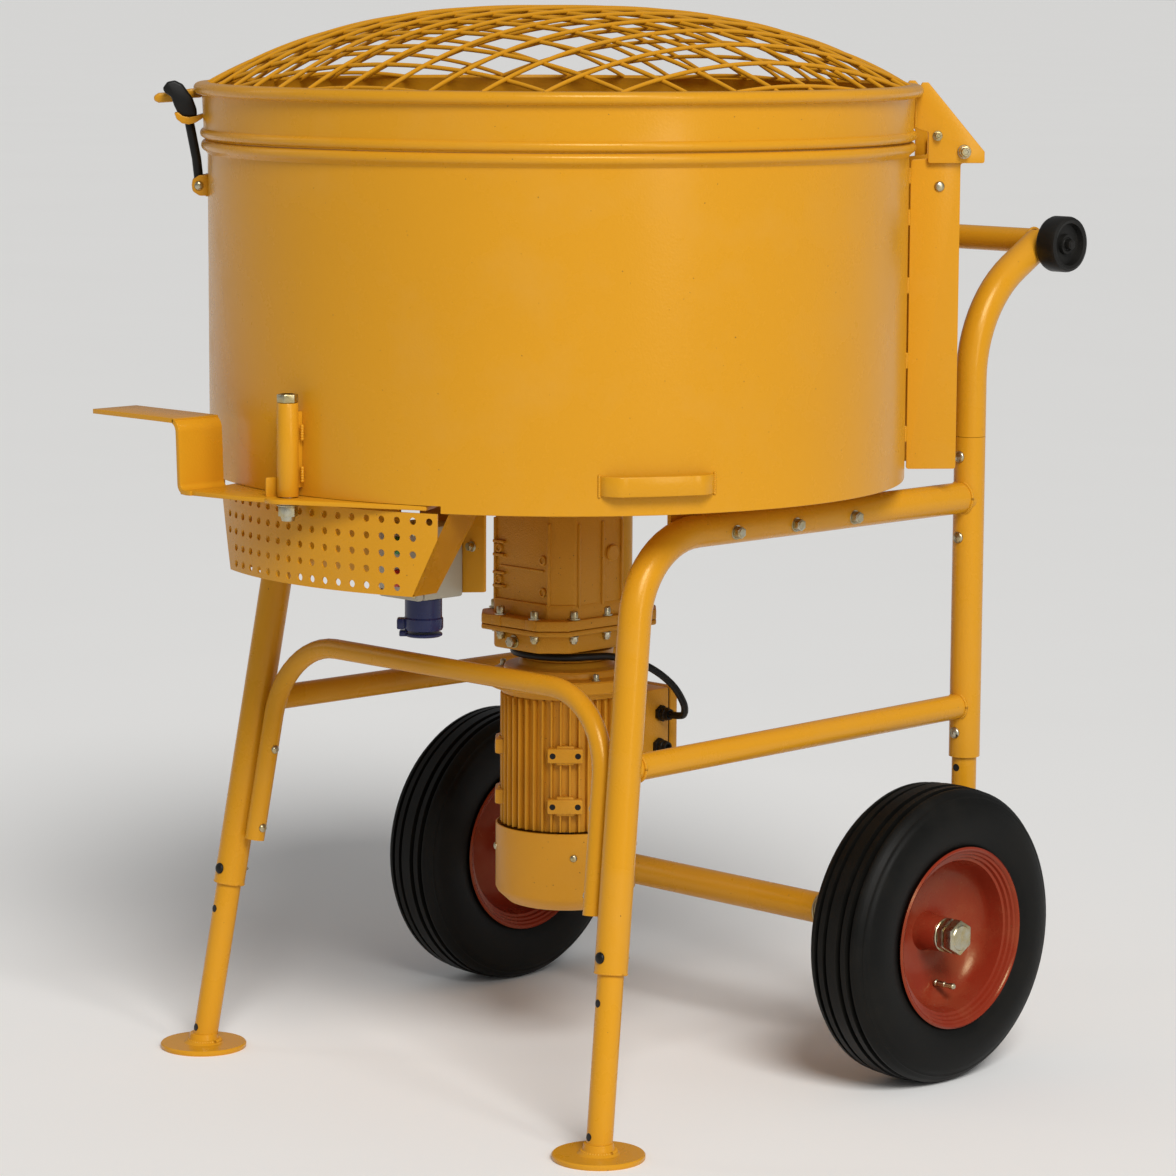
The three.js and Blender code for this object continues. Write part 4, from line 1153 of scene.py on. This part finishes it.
ear = rounded([(WALL_R - 1, 1177), (474, 1177), (483, 1183), (484, 1191), (483, 1198), (474, 1204),
               (WALL_R - 1, 1204)], 7)
ears = [moved(upright(ear, 4, 0.8), shift(0, y, 0)) for y in (-16, 16)]
pin = moved(rod(4, -20, 20, 24), turn(90, "X"), shift(LATCH_R, 0, LATCH_Z))
pad = block(WALL_R - 1, WALL_R + 3, -16, 16, 1176, 1205)
painted("latch_ears", moved(joined(*ears, pin, pad), to_latch), stands_for=["latch_lug"])
fasten("latch_pin_heads", dome_bolt(6), both_faces(to_latch, LATCH_R, 18.2, LATCH_Z))

# %% Latch catch
dish = [(506, 1285), (503, 1277), (496, 1271.5), (487, 1270), (478, 1272.5), (466, 1280), (466, 1285), (478, 1281),
        (487, 1279.5), (495, 1281), (501, 1286)]
saddle = carved(upright(dish, 38, 1), block(483.5, 520, -8, 8, 1260, 1290, 0))
finger_outline = rounded([(469, 1317), (486, 1315.5), (512, 1311), (527, 1310), (533, 1306), (533, 1300), (527, 1297),
                          (510, 1298), (488, 1303), (469, 1304)], 5)
finger = moved(upright(finger_outline, 13, 4), shift(0, -27, 0))
painted("lid_fork", moved(joined(saddle, finger), to_latch), "lid", ["lid_catch"])
print("latch at radius", round(LATCH_R))

# %% [markdown]
# ## Discharge gate
# A plate under the floor swings on a vertical bolt. Its arm bends up beside the drum and out into a flat lever.
# The bolt runs through a sleeve that is welded to the wall in two short beads, and a tab on the plate is the stop.

# %% Gate
PLATE_LOW = span("discharge_gate")[0].z
PLATE_HIGH = FLOOR_LOW.z - 0.3
px, py = GATE_PIVOT.x, GATE_PIVOT.y
plan = ([(-140, -535), (-30, -520)] + arc(px, py, 30, 240, 320, 8) + arc(px, py, 195, 20, 152, 40)
        + [(-140, -463)])
pivot_hole = moved(rod(9, 760, 830, 32, 0), shift(px, py, 0))
plate = carved(slab(plan, PLATE_LOW, PLATE_HIGH, 1.2), pivot_hole)
lever_line = smooth_line([Vector((-120, PLATE_LOW + 3)), Vector((-134, PLATE_LOW + 3.4)),
                          Vector((-141.5, PLATE_LOW + 9)),
                          Vector((-143, PLATE_LOW + 22)), Vector((-145, 880)), Vector((-146.5, 893)),
                          Vector((-153, 900.5)), Vector((-168, 902)), Vector((-317, 902))], 6)
lever = moved(upright(strip(lever_line, 6), 72, 1.4), shift(0, -499, 0))
stop_tab = moved(upright(rounded([(-13, PLATE_HIGH - 1), (9, PLATE_HIGH - 1), (9, PLATE_HIGH + 24),
                                  (-13, PLATE_HIGH + 24)], 3), 4, 0.8), turn(70), shift(px - 21, py - 3, 0))
painted("gate_leaf", joined(plate, lever, stop_tab), "gate", ["discharge_gate"])
print("gate plate", round(PLATE_LOW, 1), round(PLATE_HIGH, 1))

# %% Gate pivot
sleeve_low, sleeve_high = span("gate_pivot_tube")
sleeve = moved(lathe([(9, sleeve_low.z), (13, sleeve_low.z), (13.5, sleeve_low.z + 0.8), (13.5, sleeve_high.z - 0.8),
                      (13, sleeve_high.z), (9, sleeve_high.z)], 48), shift(px, py, 0))
web = block(px - 3, px + 3, py + 11, -WALL_R - 0.2, 826, 922, 0.4)
painted("gate_sleeve", joined(sleeve, web), stands_for=["gate_pivot_tube"])
sleeve_seams = [[Vector((px + s * 9, py + 16, z + dz)) for dz in range(0, 17, 4)] for s in (-1, 1) for z in (835, 888)]
weld("sleeve_welds", sleeve_seams, drop=2.6)
bolt_low, bolt_high = span("gate_pivot_bolt")
shank = rod(8, sleeve_low.z - 3, sleeve_high.z, 28)
head = hexagon(24, sleeve_high.z + 0.5, bolt_high.z)
crown = lathe([(0, bolt_high.z - 2), (10.5, bolt_high.z - 2), (9, bolt_high.z), (0, bolt_high.z)], 28)
washer = rod(14, PLATE_LOW - 3, PLATE_LOW - 0.6, 32)
under = moved(lock_nut(22, 7.6), turn(180, "X"), shift(0, 0, PLATE_LOW - 3))
piece("gate_bolt", moved(joined(shank, head, crown, washer, under), shift(px, py, 0)), fastener_zinc, "frame",
      ["gate_pivot_bolt"])
print("gate bolt", round(bolt_low.z), round(bolt_high.z))

# %% [markdown]
# ## Outlet guard
# A sheet bent round the outlet keeps fingers away from it and is punched with rows of holes. A tree sets one cell
# with a hole on every place of the flat pattern. The flat sheet is then trimmed along its slanted ends and bent to
# the drum.

# %% Guard cell and tree
GUARD_R = WALL_R - 1.5
GUARD_LOW = span("outlet_guard")[0].z
GUARD_TOP = shell_low.z - 0.7
HOLE_ROWS = 5
HOLE_COLUMNS = 19
CELL_H = (GUARD_TOP - GUARD_LOW) / HOLE_ROWS
CELL_W = 22.1
HOLE_R = 4.7


def guard_cell(hole):
    """A flat cell with 16 points on its rim, and a round hole or none."""
    rim = []
    for i in range(16):
        t = math.radians(22.5 * i)
        reach_x, reach_y = math.cos(t), math.sin(t)
        grow_by = 1 / max(abs(reach_x), abs(reach_y))
        rim.append((reach_x * grow_by * CELL_W / 2, reach_y * grow_by * CELL_H / 2))
    shape = bmesh.new()
    outer = [shape.verts.new((x, y, 0)) for x, y in rim]
    if hole:
        inner = [shape.verts.new((x, y, 0)) for x, y in arc(0, 0, HOLE_R, 0, 337.5, 15)]
        for i in range(16):
            shape.faces.new((outer[i], outer[(i + 1) % 16], inner[(i + 1) % 16], inner[i]))
    else:
        centre = shape.verts.new((0, 0, 0))
        for i in range(16):
            shape.faces.new((outer[i], outer[(i + 1) % 16], centre))
    return bpy.data.objects.new("cell", as_mesh(shape))


def build_cells(graph, start, given):
    shape = graph.node("GeometryNodeObjectInfo", {}, {"Object": given["Cell"]}, "Geometry")
    return graph.node("GeometryNodeInstanceOnPoints", {}, {"Points": start, "Instance": shape})


cell_tree = geometry_tree("punched_sheet", {"Cell": bpy.types.Object, "Finish": bpy.types.Material}, build_cells)
print("cell", round(CELL_W, 1), "by", round(CELL_H, 1))

# %% Guard
SLANT = {-1: (-201.0, -166.0), 1: (222.0, 178.0)}  # x at the top and at the bottom of each end


def end_x(side, z):
    top, bottom = SLANT[side]
    return bottom + (top - bottom) * (z - GUARD_LOW) / (GUARD_TOP - GUARD_LOW)


def edge_u(side, z):
    """An end of the sheet, measured along its bend."""
    return GUARD_R * math.asin(end_x(side, z) / GUARD_R)


def is_punched(u, z):
    """Whether a place on the flat sheet has a hole: well inside both slanted ends."""
    x = GUARD_R * math.sin(u / GUARD_R)
    return end_x(-1, z) + 12 < x < end_x(1, z) - 14


flat = bmesh.new()
for punched in (True, False):
    places = []
    for row in range(HOLE_ROWS):
        z = GUARD_LOW + CELL_H * (row + 0.5)
        for column in range(HOLE_COLUMNS + 2):
            u = (column - 10.7) * CELL_W
            if is_punched(u, z) == punched:
                places.append((u, z, 0))
    cell = guard_cell(punched)
    grown = grow(cell_tree, places, [], {"Cell": cell, "Finish": sheet_paint})
    bpy.data.objects.remove(cell)
    flat.from_mesh(grown)
    bpy.data.meshes.remove(grown)
bmesh.ops.remove_doubles(flat, verts=flat.verts, dist=0.05)
for side in (-1, 1):
    low_u, high_u = edge_u(side, GUARD_LOW), edge_u(side, GUARD_TOP)
    along = Vector((high_u - low_u, GUARD_TOP - GUARD_LOW, 0))
    normal = Vector((along.y, -along.x, 0)) * side
    bmesh.ops.bisect_plane(flat, geom=flat.verts[:] + flat.edges[:] + flat.faces[:],
                           plane_co=(low_u, GUARD_LOW, 0), plane_no=normal, clear_outer=True)
for vert in flat.verts:
    bend_angle = vert.co.x / GUARD_R
    vert.co = Vector((GUARD_R * math.sin(bend_angle), -GUARD_R * math.cos(bend_angle), vert.co.y))
bmesh.ops.recalc_face_normals(flat, faces=flat.faces)
bmesh.ops.solidify(flat, geom=flat.faces[:], thickness=2.6)
bmesh.ops.recalc_face_normals(flat, faces=flat.faces)


def fold_line(side, steps=8):
    """Points down the bent edge of the sheet, where the return is folded back."""
    low_u, high_u = edge_u(side, GUARD_LOW), edge_u(side, GUARD_TOP)
    line = []
    for k in range(steps + 1):
        t = k / steps
        angle = (low_u + (high_u - low_u) * t) / GUARD_R
        z = GUARD_LOW + (GUARD_TOP - GUARD_LOW) * t
        line.append(Vector((GUARD_R * math.sin(angle), -GUARD_R * math.cos(angle), z)))
    return line


returns = []
for side in (-1, 1):
    shape = bmesh.new()
    front = fold_line(side)
    rows = []
    for k, p in enumerate(front):
        t = k / (len(front) - 1)
        depth = Vector((-side * 0.10, 1, 0)) * (46 + 12 * t)
        rows.append([shape.verts.new(p), shape.verts.new(p + depth)])
    for low, high in zip(rows, rows[1:]):
        shape.faces.new((low[0], low[1], high[1], high[0]) if side > 0 else (low[0], high[0], high[1], low[1]))
    bmesh.ops.solidify(shape, geom=shape.faces[:], thickness=2.6)
    bmesh.ops.recalc_face_normals(shape, faces=shape.faces)
    returns.append(shape)
CHUTE_Y = -297
switch_x = span("switch_box")[0].x
back_sheet = block(-187, switch_x - 6, CHUTE_Y, CHUTE_Y + 2.6, 684, FLOOR_LOW.z - 0.4, 0.4)
side_low = -math.sqrt((GUARD_R - 1) ** 2 - 186 ** 2) + 50
side_sheet = block(-188.6, -186, side_low, CHUTE_Y + 2.6, 690, FLOOR_LOW.z - 0.4, 0.4)
painted("guard_sheet", joined(flat, *returns, back_sheet, side_sheet), stands_for=["outlet_guard"])
print("guard rows", HOLE_ROWS)

# %% [markdown]
# ## Gearbox
# The gearbox is a cast iron case bolted up under the floor, with a flange whose corners are cut off and a cover
# below. Its front face has bosses, ribs and a split line. Cap screws run round the flange, with nuts below them.

# %% Gear case
def cut_corners(x, y0, y1, c):
    return [(-x + c, y0), (x - c, y0), (x, y0 + c), (x, y1 - c), (x - c, y1), (-x + c, y1), (-x, y1 - c), (-x, y0 + c)]


case_low, case_high = span("gear_housing")
cover_low, cover_high = span("gear_base")
FLANGE_TOP = 620
FLANGE_BOX = (83, case_low.y, case_high.y)
flange = slab(cut_corners(*FLANGE_BOX, 30), case_low.z + 0.4, FLANGE_TOP, 2)
skirt = slab(cut_corners(77, -68, 84, 26), FLANGE_TOP - 2, 640, 3)
case = slab(cut_corners(76, -64, 72.5, 24), FLANGE_TOP - 2, 762, 3)
cap = slab(cut_corners(79, -67, 75, 24), 757, 768, 2)
neck = rod(58, 766, case_high.z, 64)
FACE_Y = -64
SIDE_X = 76
bars = [block(-42, 42, FACE_Y - 2.5, FACE_Y + 2, 682, 685, 1)]
for z in (656, 674, 698, 716):
    bars.append(block(-53, -32, FACE_Y - 5, FACE_Y + 2, z - 2, z + 2, 1))
for x in (-53, 49):
    bars.append(block(x, x + 4, FACE_Y - 3.5, FACE_Y + 2, FLANGE_TOP + 16, 748, 1.2))
for side in (-1, 1):
    for y in (-34, 10, 46):
        bars.append(block(side * SIDE_X - 3, side * SIDE_X + 3, y - 2, y + 2, FLANGE_TOP + 16, 748, 1.2))
    bars.append(moved(rod(11, -3, 6, 28, 1.5), turn(90, "Y"), shift(side * SIDE_X - 1.5, 28, 704)))
bosses = []
for x, z in ((-44, 707), (-44, 665), (40, 698), (40, 655)):
    bosses.append(moved(lathe([(0, 0), (7, 0), (6.2, 4), (4, 4.4), (3.4, 2.4), (0, 2.4)], 28), turn(90, "X"),
                        shift(x, FACE_Y + 1, z)))
flange_pads = [block(x - 9, x + 9, case_low.y - 1.5, case_low.y + 16, 606.6, FLANGE_TOP + 1, 2) for x in (-24, 41)]
piece("gear_case", joined(flange, skirt, case, cap, neck, *bars, *bosses, *flange_pads), cast_paint, "frame",
      ["gear_housing"])
cover = slab(cut_corners(*FLANGE_BOX, 30), 599, cover_high.z, 2)
pan = slab(cut_corners(73, case_low.y + 12, case_high.y - 14, 32), 574, 601, 4)
bell = moved(lathe([(0, cover_low.z), (60, cover_low.z), (62, cover_low.z + 2), (64, 570), (0, 576)],
                   72), shift(0, middle("motor_housing").y, 0))
piece("gear_cover", joined(cover, pan, bell), cast_paint, "frame", ["gear_base"])
print("gear case", round(case_low.z), round(case_high.z))

# %% Gear case screws
screw_spots = [(-24, case_low.y + 8), (41, case_low.y + 8), (24, case_high.y - 9), (-41, case_high.y - 9)]
screw_spots += [(side * 76, case_low.y + dy) for side in (-1, 1) for dy in (47, 108, 169)]
fasten("flange_screws", cap_screw(5.4), [(Vector((x, y, FLANGE_TOP + 0.8)), (0, 0, 1)) for x, y in screw_spots])
fasten("flange_nuts", lock_nut(10, 3.5), [(Vector((x, y, 598.6)), (0, 0, -1)) for x, y in screw_spots])
plug = [(Vector((-2, case_low.y + 12.2, 586)), (0, -1, 0))]
fasten("oil_plugs", hex_bolt(13), plug)
print("flange screws", len(screw_spots))

# %% [markdown]
# ## Motor
# An upright three-phase motor hangs under the gearbox. Its ribbed body is die-cast aluminium, with a bell-shaped end
# shield above, a fan cowl below and mounting pads. A tree sets one cooling fin on every place round the barrel.

# %% Motor
motor_low, motor_high = span("motor_housing")
MOTOR_Y = middle("motor_housing").y
BARREL_R = 80.5
FIN_R = 89
FIN_COUNT = 44


def build_fins(graph, start, given):
    shape = graph.node("GeometryNodeObjectInfo", {}, {"Object": given["Fin"]}, "Geometry")
    index = graph.node("GeometryNodeInputIndex")
    angle = graph.node("ShaderNodeCombineXYZ", {}, {2: index * (2 * math.pi) / given["Count"]})
    spots = graph.node("GeometryNodeMeshLine", {}, {"Count": given["Count"], "Offset": (0, 0, 0)})
    return graph.node("GeometryNodeInstanceOnPoints", {}, {"Points": spots, "Instance": shape, "Rotation": angle})


fin_tree = geometry_tree("cooling_fins", {"Fin": bpy.types.Object, "Count": int, "Finish": bpy.types.Material},
                         build_fins)
fin = block(BARREL_R - 2, FIN_R, -1.3, 1.3, motor_low.z + 1, 508, 0.7)
fin_object = bpy.data.objects.new("fin", as_mesh(fin))
fins = grow(fin_tree, [(0, 0, 0)], [], {"Fin": fin_object, "Count": FIN_COUNT, "Finish": ribbed_paint})
bpy.data.objects.remove(fin_object)
barrel = lathe([(BARREL_R - 2, motor_low.z), (BARREL_R, motor_low.z), (BARREL_R, 508), (88, 510), (89, 516),
                (103, 518.5), (105.5, 521), (105.5, 534.5), (104, 536.5), (86, 538), (84.5, 540), (84, 544.5),
                (82, 546.5),
                (66, 547.5), (64, 549), (61, 554), (57, motor_high.z), (15, motor_high.z), (15, 540),
                (BARREL_R - 2, 505)], 88)
barrel.from_mesh(fins)
bpy.data.meshes.remove(fins)
pads = []
pad_places = []
for degrees in (-135, -45):
    for z in (357, 426):
        place = turn(degrees)
        pads.append(moved(block(BARREL_R - 1, 95.5, -24, 24, z, z + 20, 2.5), place))
        pads.append(moved(block(BARREL_R - 1, 92, -12, 12, z - 3, z + 23, 2), place))
        for y in (-17, 17):
            pad_places.append((place @ Vector((95.5, y, z + 10)) + Vector((0, MOTOR_Y, 0)),
                               place.to_3x3() @ Vector((1, 0, 0))))
motor_body = moved(joined(barrel, *pads), shift(0, MOTOR_Y, 0))
piece("motor_barrel", motor_body, ribbed_paint, "frame", ["motor_housing"])
# Black discs of painted shade stand for the empty bolt holes in the motor's mounting pads.
fasten("pad_holes", hole_shade_disc(4), pad_places, finish=black_rubber)
shield_places = [(Vector((*polar(95, a), 537)) + Vector((0, MOTOR_Y, 0)), Vector((0, 0, 1)))
                 for a in (20, 70, 110, 160, 200, 250, 290, 340)]
fasten("shield_bolts", cap_screw(4), shield_places)
print("fins", FIN_COUNT)

# %% Fan cowl
cowl_low, cowl_high = span("fan_cowl")
cowl = [(40, cowl_low.z), (72, cowl_low.z), (78, cowl_low.z + 2), (92, cowl_low.z + 15), (95, cowl_low.z + 21),
        (95, cowl_high.z - 0.6), (93.2, cowl_high.z), (92.8, cowl_high.z - 1), (92.8, cowl_low.z + 22),
        (76, cowl_low.z + 4.5), (40, cowl_low.z + 2.4)]
guard_bars = []
for r in (8, 16, 24, 32):
    guard_bars.append(lathe([(r - 1.2, cowl_low.z + 0.4), (r + 1.2, cowl_low.z + 0.4), (r + 1.2, cowl_low.z + 2.2),
                             (r - 1.2, cowl_low.z + 2.2)], 48))
for degrees in (0, 60, 120):
    guard_bars.append(moved(block(-41, 41, -1.2, 1.2, cowl_low.z + 0.5, cowl_low.z + 2.3, 0.3), turn(degrees)))
piece("cowl_shell", moved(joined(lathe(cowl, 88), *guard_bars), shift(0, MOTOR_Y, 0)), ribbed_paint, "frame",
      ["fan_cowl"])
cowl_places = [(Vector((*polar(94.8, a), 297)) + Vector((0, MOTOR_Y, 0)), Vector((*polar(1, a), 0)))
               for a in (-38, 52, 142, 232)]
fasten("cowl_screws", dome_bolt(5), cowl_places)
print("cowl screws", len(cowl_places))

# %% [markdown]
# ## Terminal box and lead
# The terminal box sits behind the motor, with a gasketed lid and two cable glands. The black lead from the switch box
# drops beside the gearbox, wraps round its neck and enters the upper gland. Its points are listed.

# %% Terminal box
box_low, box_high = span("terminal_box")
terminal = block(-50, 50, box_low.y, 168, box_low.z, box_high.z, 4)
gasket = block(-47, 47, 166, 171, box_low.z + 3, box_high.z - 3, 0.5)
terminal_lid = block(-50, 50, 170, box_high.y, box_low.z, box_high.z, 4)
foot_rim = block(-40, 40, box_low.y - 10, box_low.y + 4, box_low.z + 14, box_high.z - 14, 2)
piece("terminal_case", joined(terminal, terminal_lid, foot_rim), ribbed_paint, "frame",
      ["terminal_box"])
piece("terminal_gasket", gasket, black_rubber, "frame")
GLAND = Vector((50, 150, 469))
SECOND_GLAND = Vector((50, 146, 424))
gland_shapes = []
for spot in (GLAND, SECOND_GLAND):
    nut = joined(hexagon(20, 0, 7), rod(9, 6, 14, 28), lathe([(5, 13), (8.6, 13), (7.4, 19.5), (5, 19.5)], 28))
    gland_shapes.append(moved(nut, turn(90, "Y"), shift(*spot)))
piece("cable_glands", joined(*gland_shapes), black_rubber, "frame")
lid_screws = [(Vector((x, box_high.y - 0.1, z)), (0, 1, 0)) for x in (-41, 41) for z in (box_low.z + 9, box_high.z - 9)]
fasten("terminal_screws", dome_bolt(4.5), lid_screws)
print("terminal box", round(box_low.z), round(box_high.z))

# %% Motor lead
wrap = [(x, y, 565) for x, y in arc(0, MOTOR_Y, 71, -155, -12, 6)]
route = [(17, -285, 740), (-8, -282, 744), (-45, -262, 762), (-90, -205, 780), (-116, -120, 782), (-120, -35, 772),
         (-112, 20, 735), (-106, 38, 670), (-103, 38, 614), (-97, 32, 587), (-84, 14, 567), *wrap, (80, 30, 563),
         (98, 72, 549), (108, 110, 522), (107, 136, 492), (97, 148, 474), (84, 150, 469.5), (62, 150, 469)]
lead_line = smooth_line([Vector(p) for p in route], 5)
lead = tube(lead_line, 5, 0.1, 14, 2, black_rubber)
piece("motor_cable", lead, black_rubber, "frame", ["motor_lead"])
print("lead points", len(lead_line), "mm", round(sum((b - a).length for a, b in zip(lead_line, lead_line[1:]))))

# %% [markdown]
# ## Switch box and inlet
# The switch sits behind the guard on a plate that hangs from the floor. It is a grey box with two button caps,
# and the supply comes in from below through a blue inlet with a sprung flap.

# %% Switch box
sw_low, sw_high = span("switch_box")
shell = block(sw_low.x, sw_high.x, sw_low.y + 12, sw_high.y, sw_low.z, sw_high.z, 3)
front_cover = block(sw_low.x, sw_high.x, sw_low.y, sw_low.y + 11, sw_low.z, sw_high.z, 3)
BUTTON_X = middle("start_button").x
cap_tools = [moved(rod(11.6, -30, 30, 40, 0), turn(90, "X"), shift(BUTTON_X, sw_low.y, middle(f"{word}_button").z))
             for word in ("start", "stop")]
piece("switch_case", carved(joined(shell, front_cover), *cap_tools), grey_plastic, "frame",
      ["switch_box"])
case_screws = [(Vector((x, sw_low.y + 0.1, z)), (0, -1, 0)) for x in (sw_low.x + 7, sw_high.x - 7)
               for z in (sw_low.z + 7, sw_high.z - 7)]
fasten("switch_screws", dome_bolt(3.5), case_screws)
for word, finish, slot in (("start", green_plastic, "green_plastic"), ("stop", red_plastic, "red_plastic")):
    centre = middle(f"{word}_button")
    low_y = span(f"{word}_button")[0].y
    cap_profile = [(0, -1), (9, -1), (11, 1), (11, 13), (13.8, 13.5), (13.8, 16.5), (0, 16.5)]
    button = moved(lathe(cap_profile, 40), turn(-90, "X"), shift(centre.x, low_y + 1, centre.z))
    piece(f"{word}_cap", button, finish, f"{word}_button", [f"{word}_button"])
print("switch box", round(sw_low.z), round(sw_high.z))

# %% Inlet
inlet_low, inlet_high = span("power_inlet")
inlet_centre = Vector((62, -300))
to_inlet = (turn(225), shift(inlet_centre.x, inlet_centre.y, 0))
cup = lathe([(0, inlet_high.z), (22, inlet_high.z), (24, inlet_high.z - 2), (24, 650), (25.5, 648), (25.5, 636),
             (24, 633), (21, 632), (20.5, 634), (20.5, 667), (0, 667)], 48)
pins = [moved(rod(2.4, 640, 668, 16), shift(*polar(11, 90 * k + 45), 0)) for k in range(4)]
lug = block(23, 34, -9, 9, 634, 648, 2)
piece("inlet_body", moved(joined(cup, lug, *pins), *to_inlet), blue_plastic, "frame",
      ["power_inlet"])
leaf = joined(lathe([(0, 624.6), (22, 624.6), (24.4, 626), (24.4, 628), (23.5, 629), (0, 629)], 48),
              block(20, 31, -8, 8, 624.8, 631.8, 1.5))
piece("inlet_lid", moved(leaf, *to_inlet), blue_plastic, "inlet_flap", ["inlet_flap"])
plate_low, plate_high = span("switch_bracket")
bracket = moved(upright(rounded([(plate_low.x, plate_low.z), (plate_high.x, plate_low.z + 14),
                                 (plate_high.x, plate_high.z), (plate_low.x, plate_high.z)], 3), 4, 0.8),
                shift(0, middle("switch_bracket").y, 0))
painted("switch_plate", bracket, stands_for=["switch_bracket"])
fasten("bracket_bolt", hex_bolt(10), [(Vector((112, plate_low.y, 742)), (0, -1, 0))])
print("inlet bottom", round(inlet_low.z))

# %% [markdown]
# ## What the frame already shows
# The gears, shafts, fan, stator and drum brackets keep their frame shapes, because they are flat-sided or hidden.
# They only get a finish of their own, in place of the plain colour they came with.

# %% Carried-over nodes
KEPT = {"drum_mount_left": sheet_paint, "drum_mount_right": sheet_paint, "rotor_shaft": tool_steel,
        "output_gear": tool_steel, "countershaft": tool_steel, "motor_shaft": tool_steel,
        "cooling_fan": black_plastic, "stator": winding}
for node, finish in KEPT.items():
    for place in frame["nodes"][node].material_slots:
        place.material = finish
print("kept nodes", len(KEPT))

# %% [markdown]
# ## Stage, light and camera
# A plain pale floor and soft lamps, as in a studio: a broad key from the front right, a tall lamp beside it that lays
# a streak down the drum, and a faint one on the left edge. The camera looks from the front right with a long lens.

# %% Stage and lights
def studio_finish():
    finish = Finish("studio_floor")
    finish.send("Base Color", finish.mix(finish.noise(0.6), (0.90, 0.90, 0.895, 1), (0.92, 0.92, 0.915, 1)))
    finish.send("Roughness", finish.step(finish.noise(3.0), 0.0, 1.0, 0.75, 0.85))
    return finish.material


bpy.ops.mesh.primitive_plane_add(size=600)
ground = bpy.context.object
ground.name = "studio_floor"
ground.data.materials.append(studio_finish())


def lamp_at(name, kind, place, target, power, colour, **settings):
    lamp = bpy.data.lights.new(name, kind)
    lamp.energy = power
    lamp.color = colour
    for setting, value in settings.items():
        setattr(lamp, setting, value)
    made = placed(name, lamp)
    made.location = place
    made.rotation_euler = (Vector(target) - Vector(place)).to_track_quat("-Z", "Y").to_euler()


lamp_at("key", "SUN", (4.2, -2.5, 4.7), (0, 0, 0.4), 2.4, (1.0, 0.985, 0.96), angle=math.radians(24))
lamp_at("streak", "AREA", (4.4, -0.9, 2.2), (0, 0, 0.9), 36, (1.0, 0.98, 0.95), shape="RECTANGLE", size=0.7, size_y=2.4)
lamp_at("edge", "AREA", (-3.4, -2.2, 2.6), (0, 0, 1.0), 8, (1.0, 0.99, 0.97), shape="RECTANGLE", size=0.8, size_y=2.2)
world = bpy.data.worlds.new("studio")
bpy.context.scene.world = world
world.use_nodes = True
world.node_tree.nodes["Background"].inputs["Color"].default_value = (0.98, 0.99, 1.0, 1)
world.node_tree.nodes["Background"].inputs["Strength"].default_value = 0.27
print("lamps", len(bpy.data.lights))

# %% Camera
AZIMUTH = 45.58         # from the front towards +X
PITCH = 8.29            # downwards
ROLL = 0.235
LENS = 128.77
EYE = Vector((3.996, -3.916 + DRUM_Y, 1.458))
camera_data = bpy.data.cameras.new("camera")
camera_data.lens = LENS
camera_data.sensor_width = 36
camera_data.shift_x = 0.0267
camera_data.shift_y = 0.0050
camera = placed("camera", camera_data)
camera.location = EYE
facing = turn(AZIMUTH) @ turn(90 - PITCH, "X") @ turn(ROLL)
camera.rotation_euler = facing.to_euler()
bpy.context.scene.camera = camera
bpy.context.scene.view_settings.view_transform = "Standard"
print("camera", [round(v, 2) for v in camera.location])
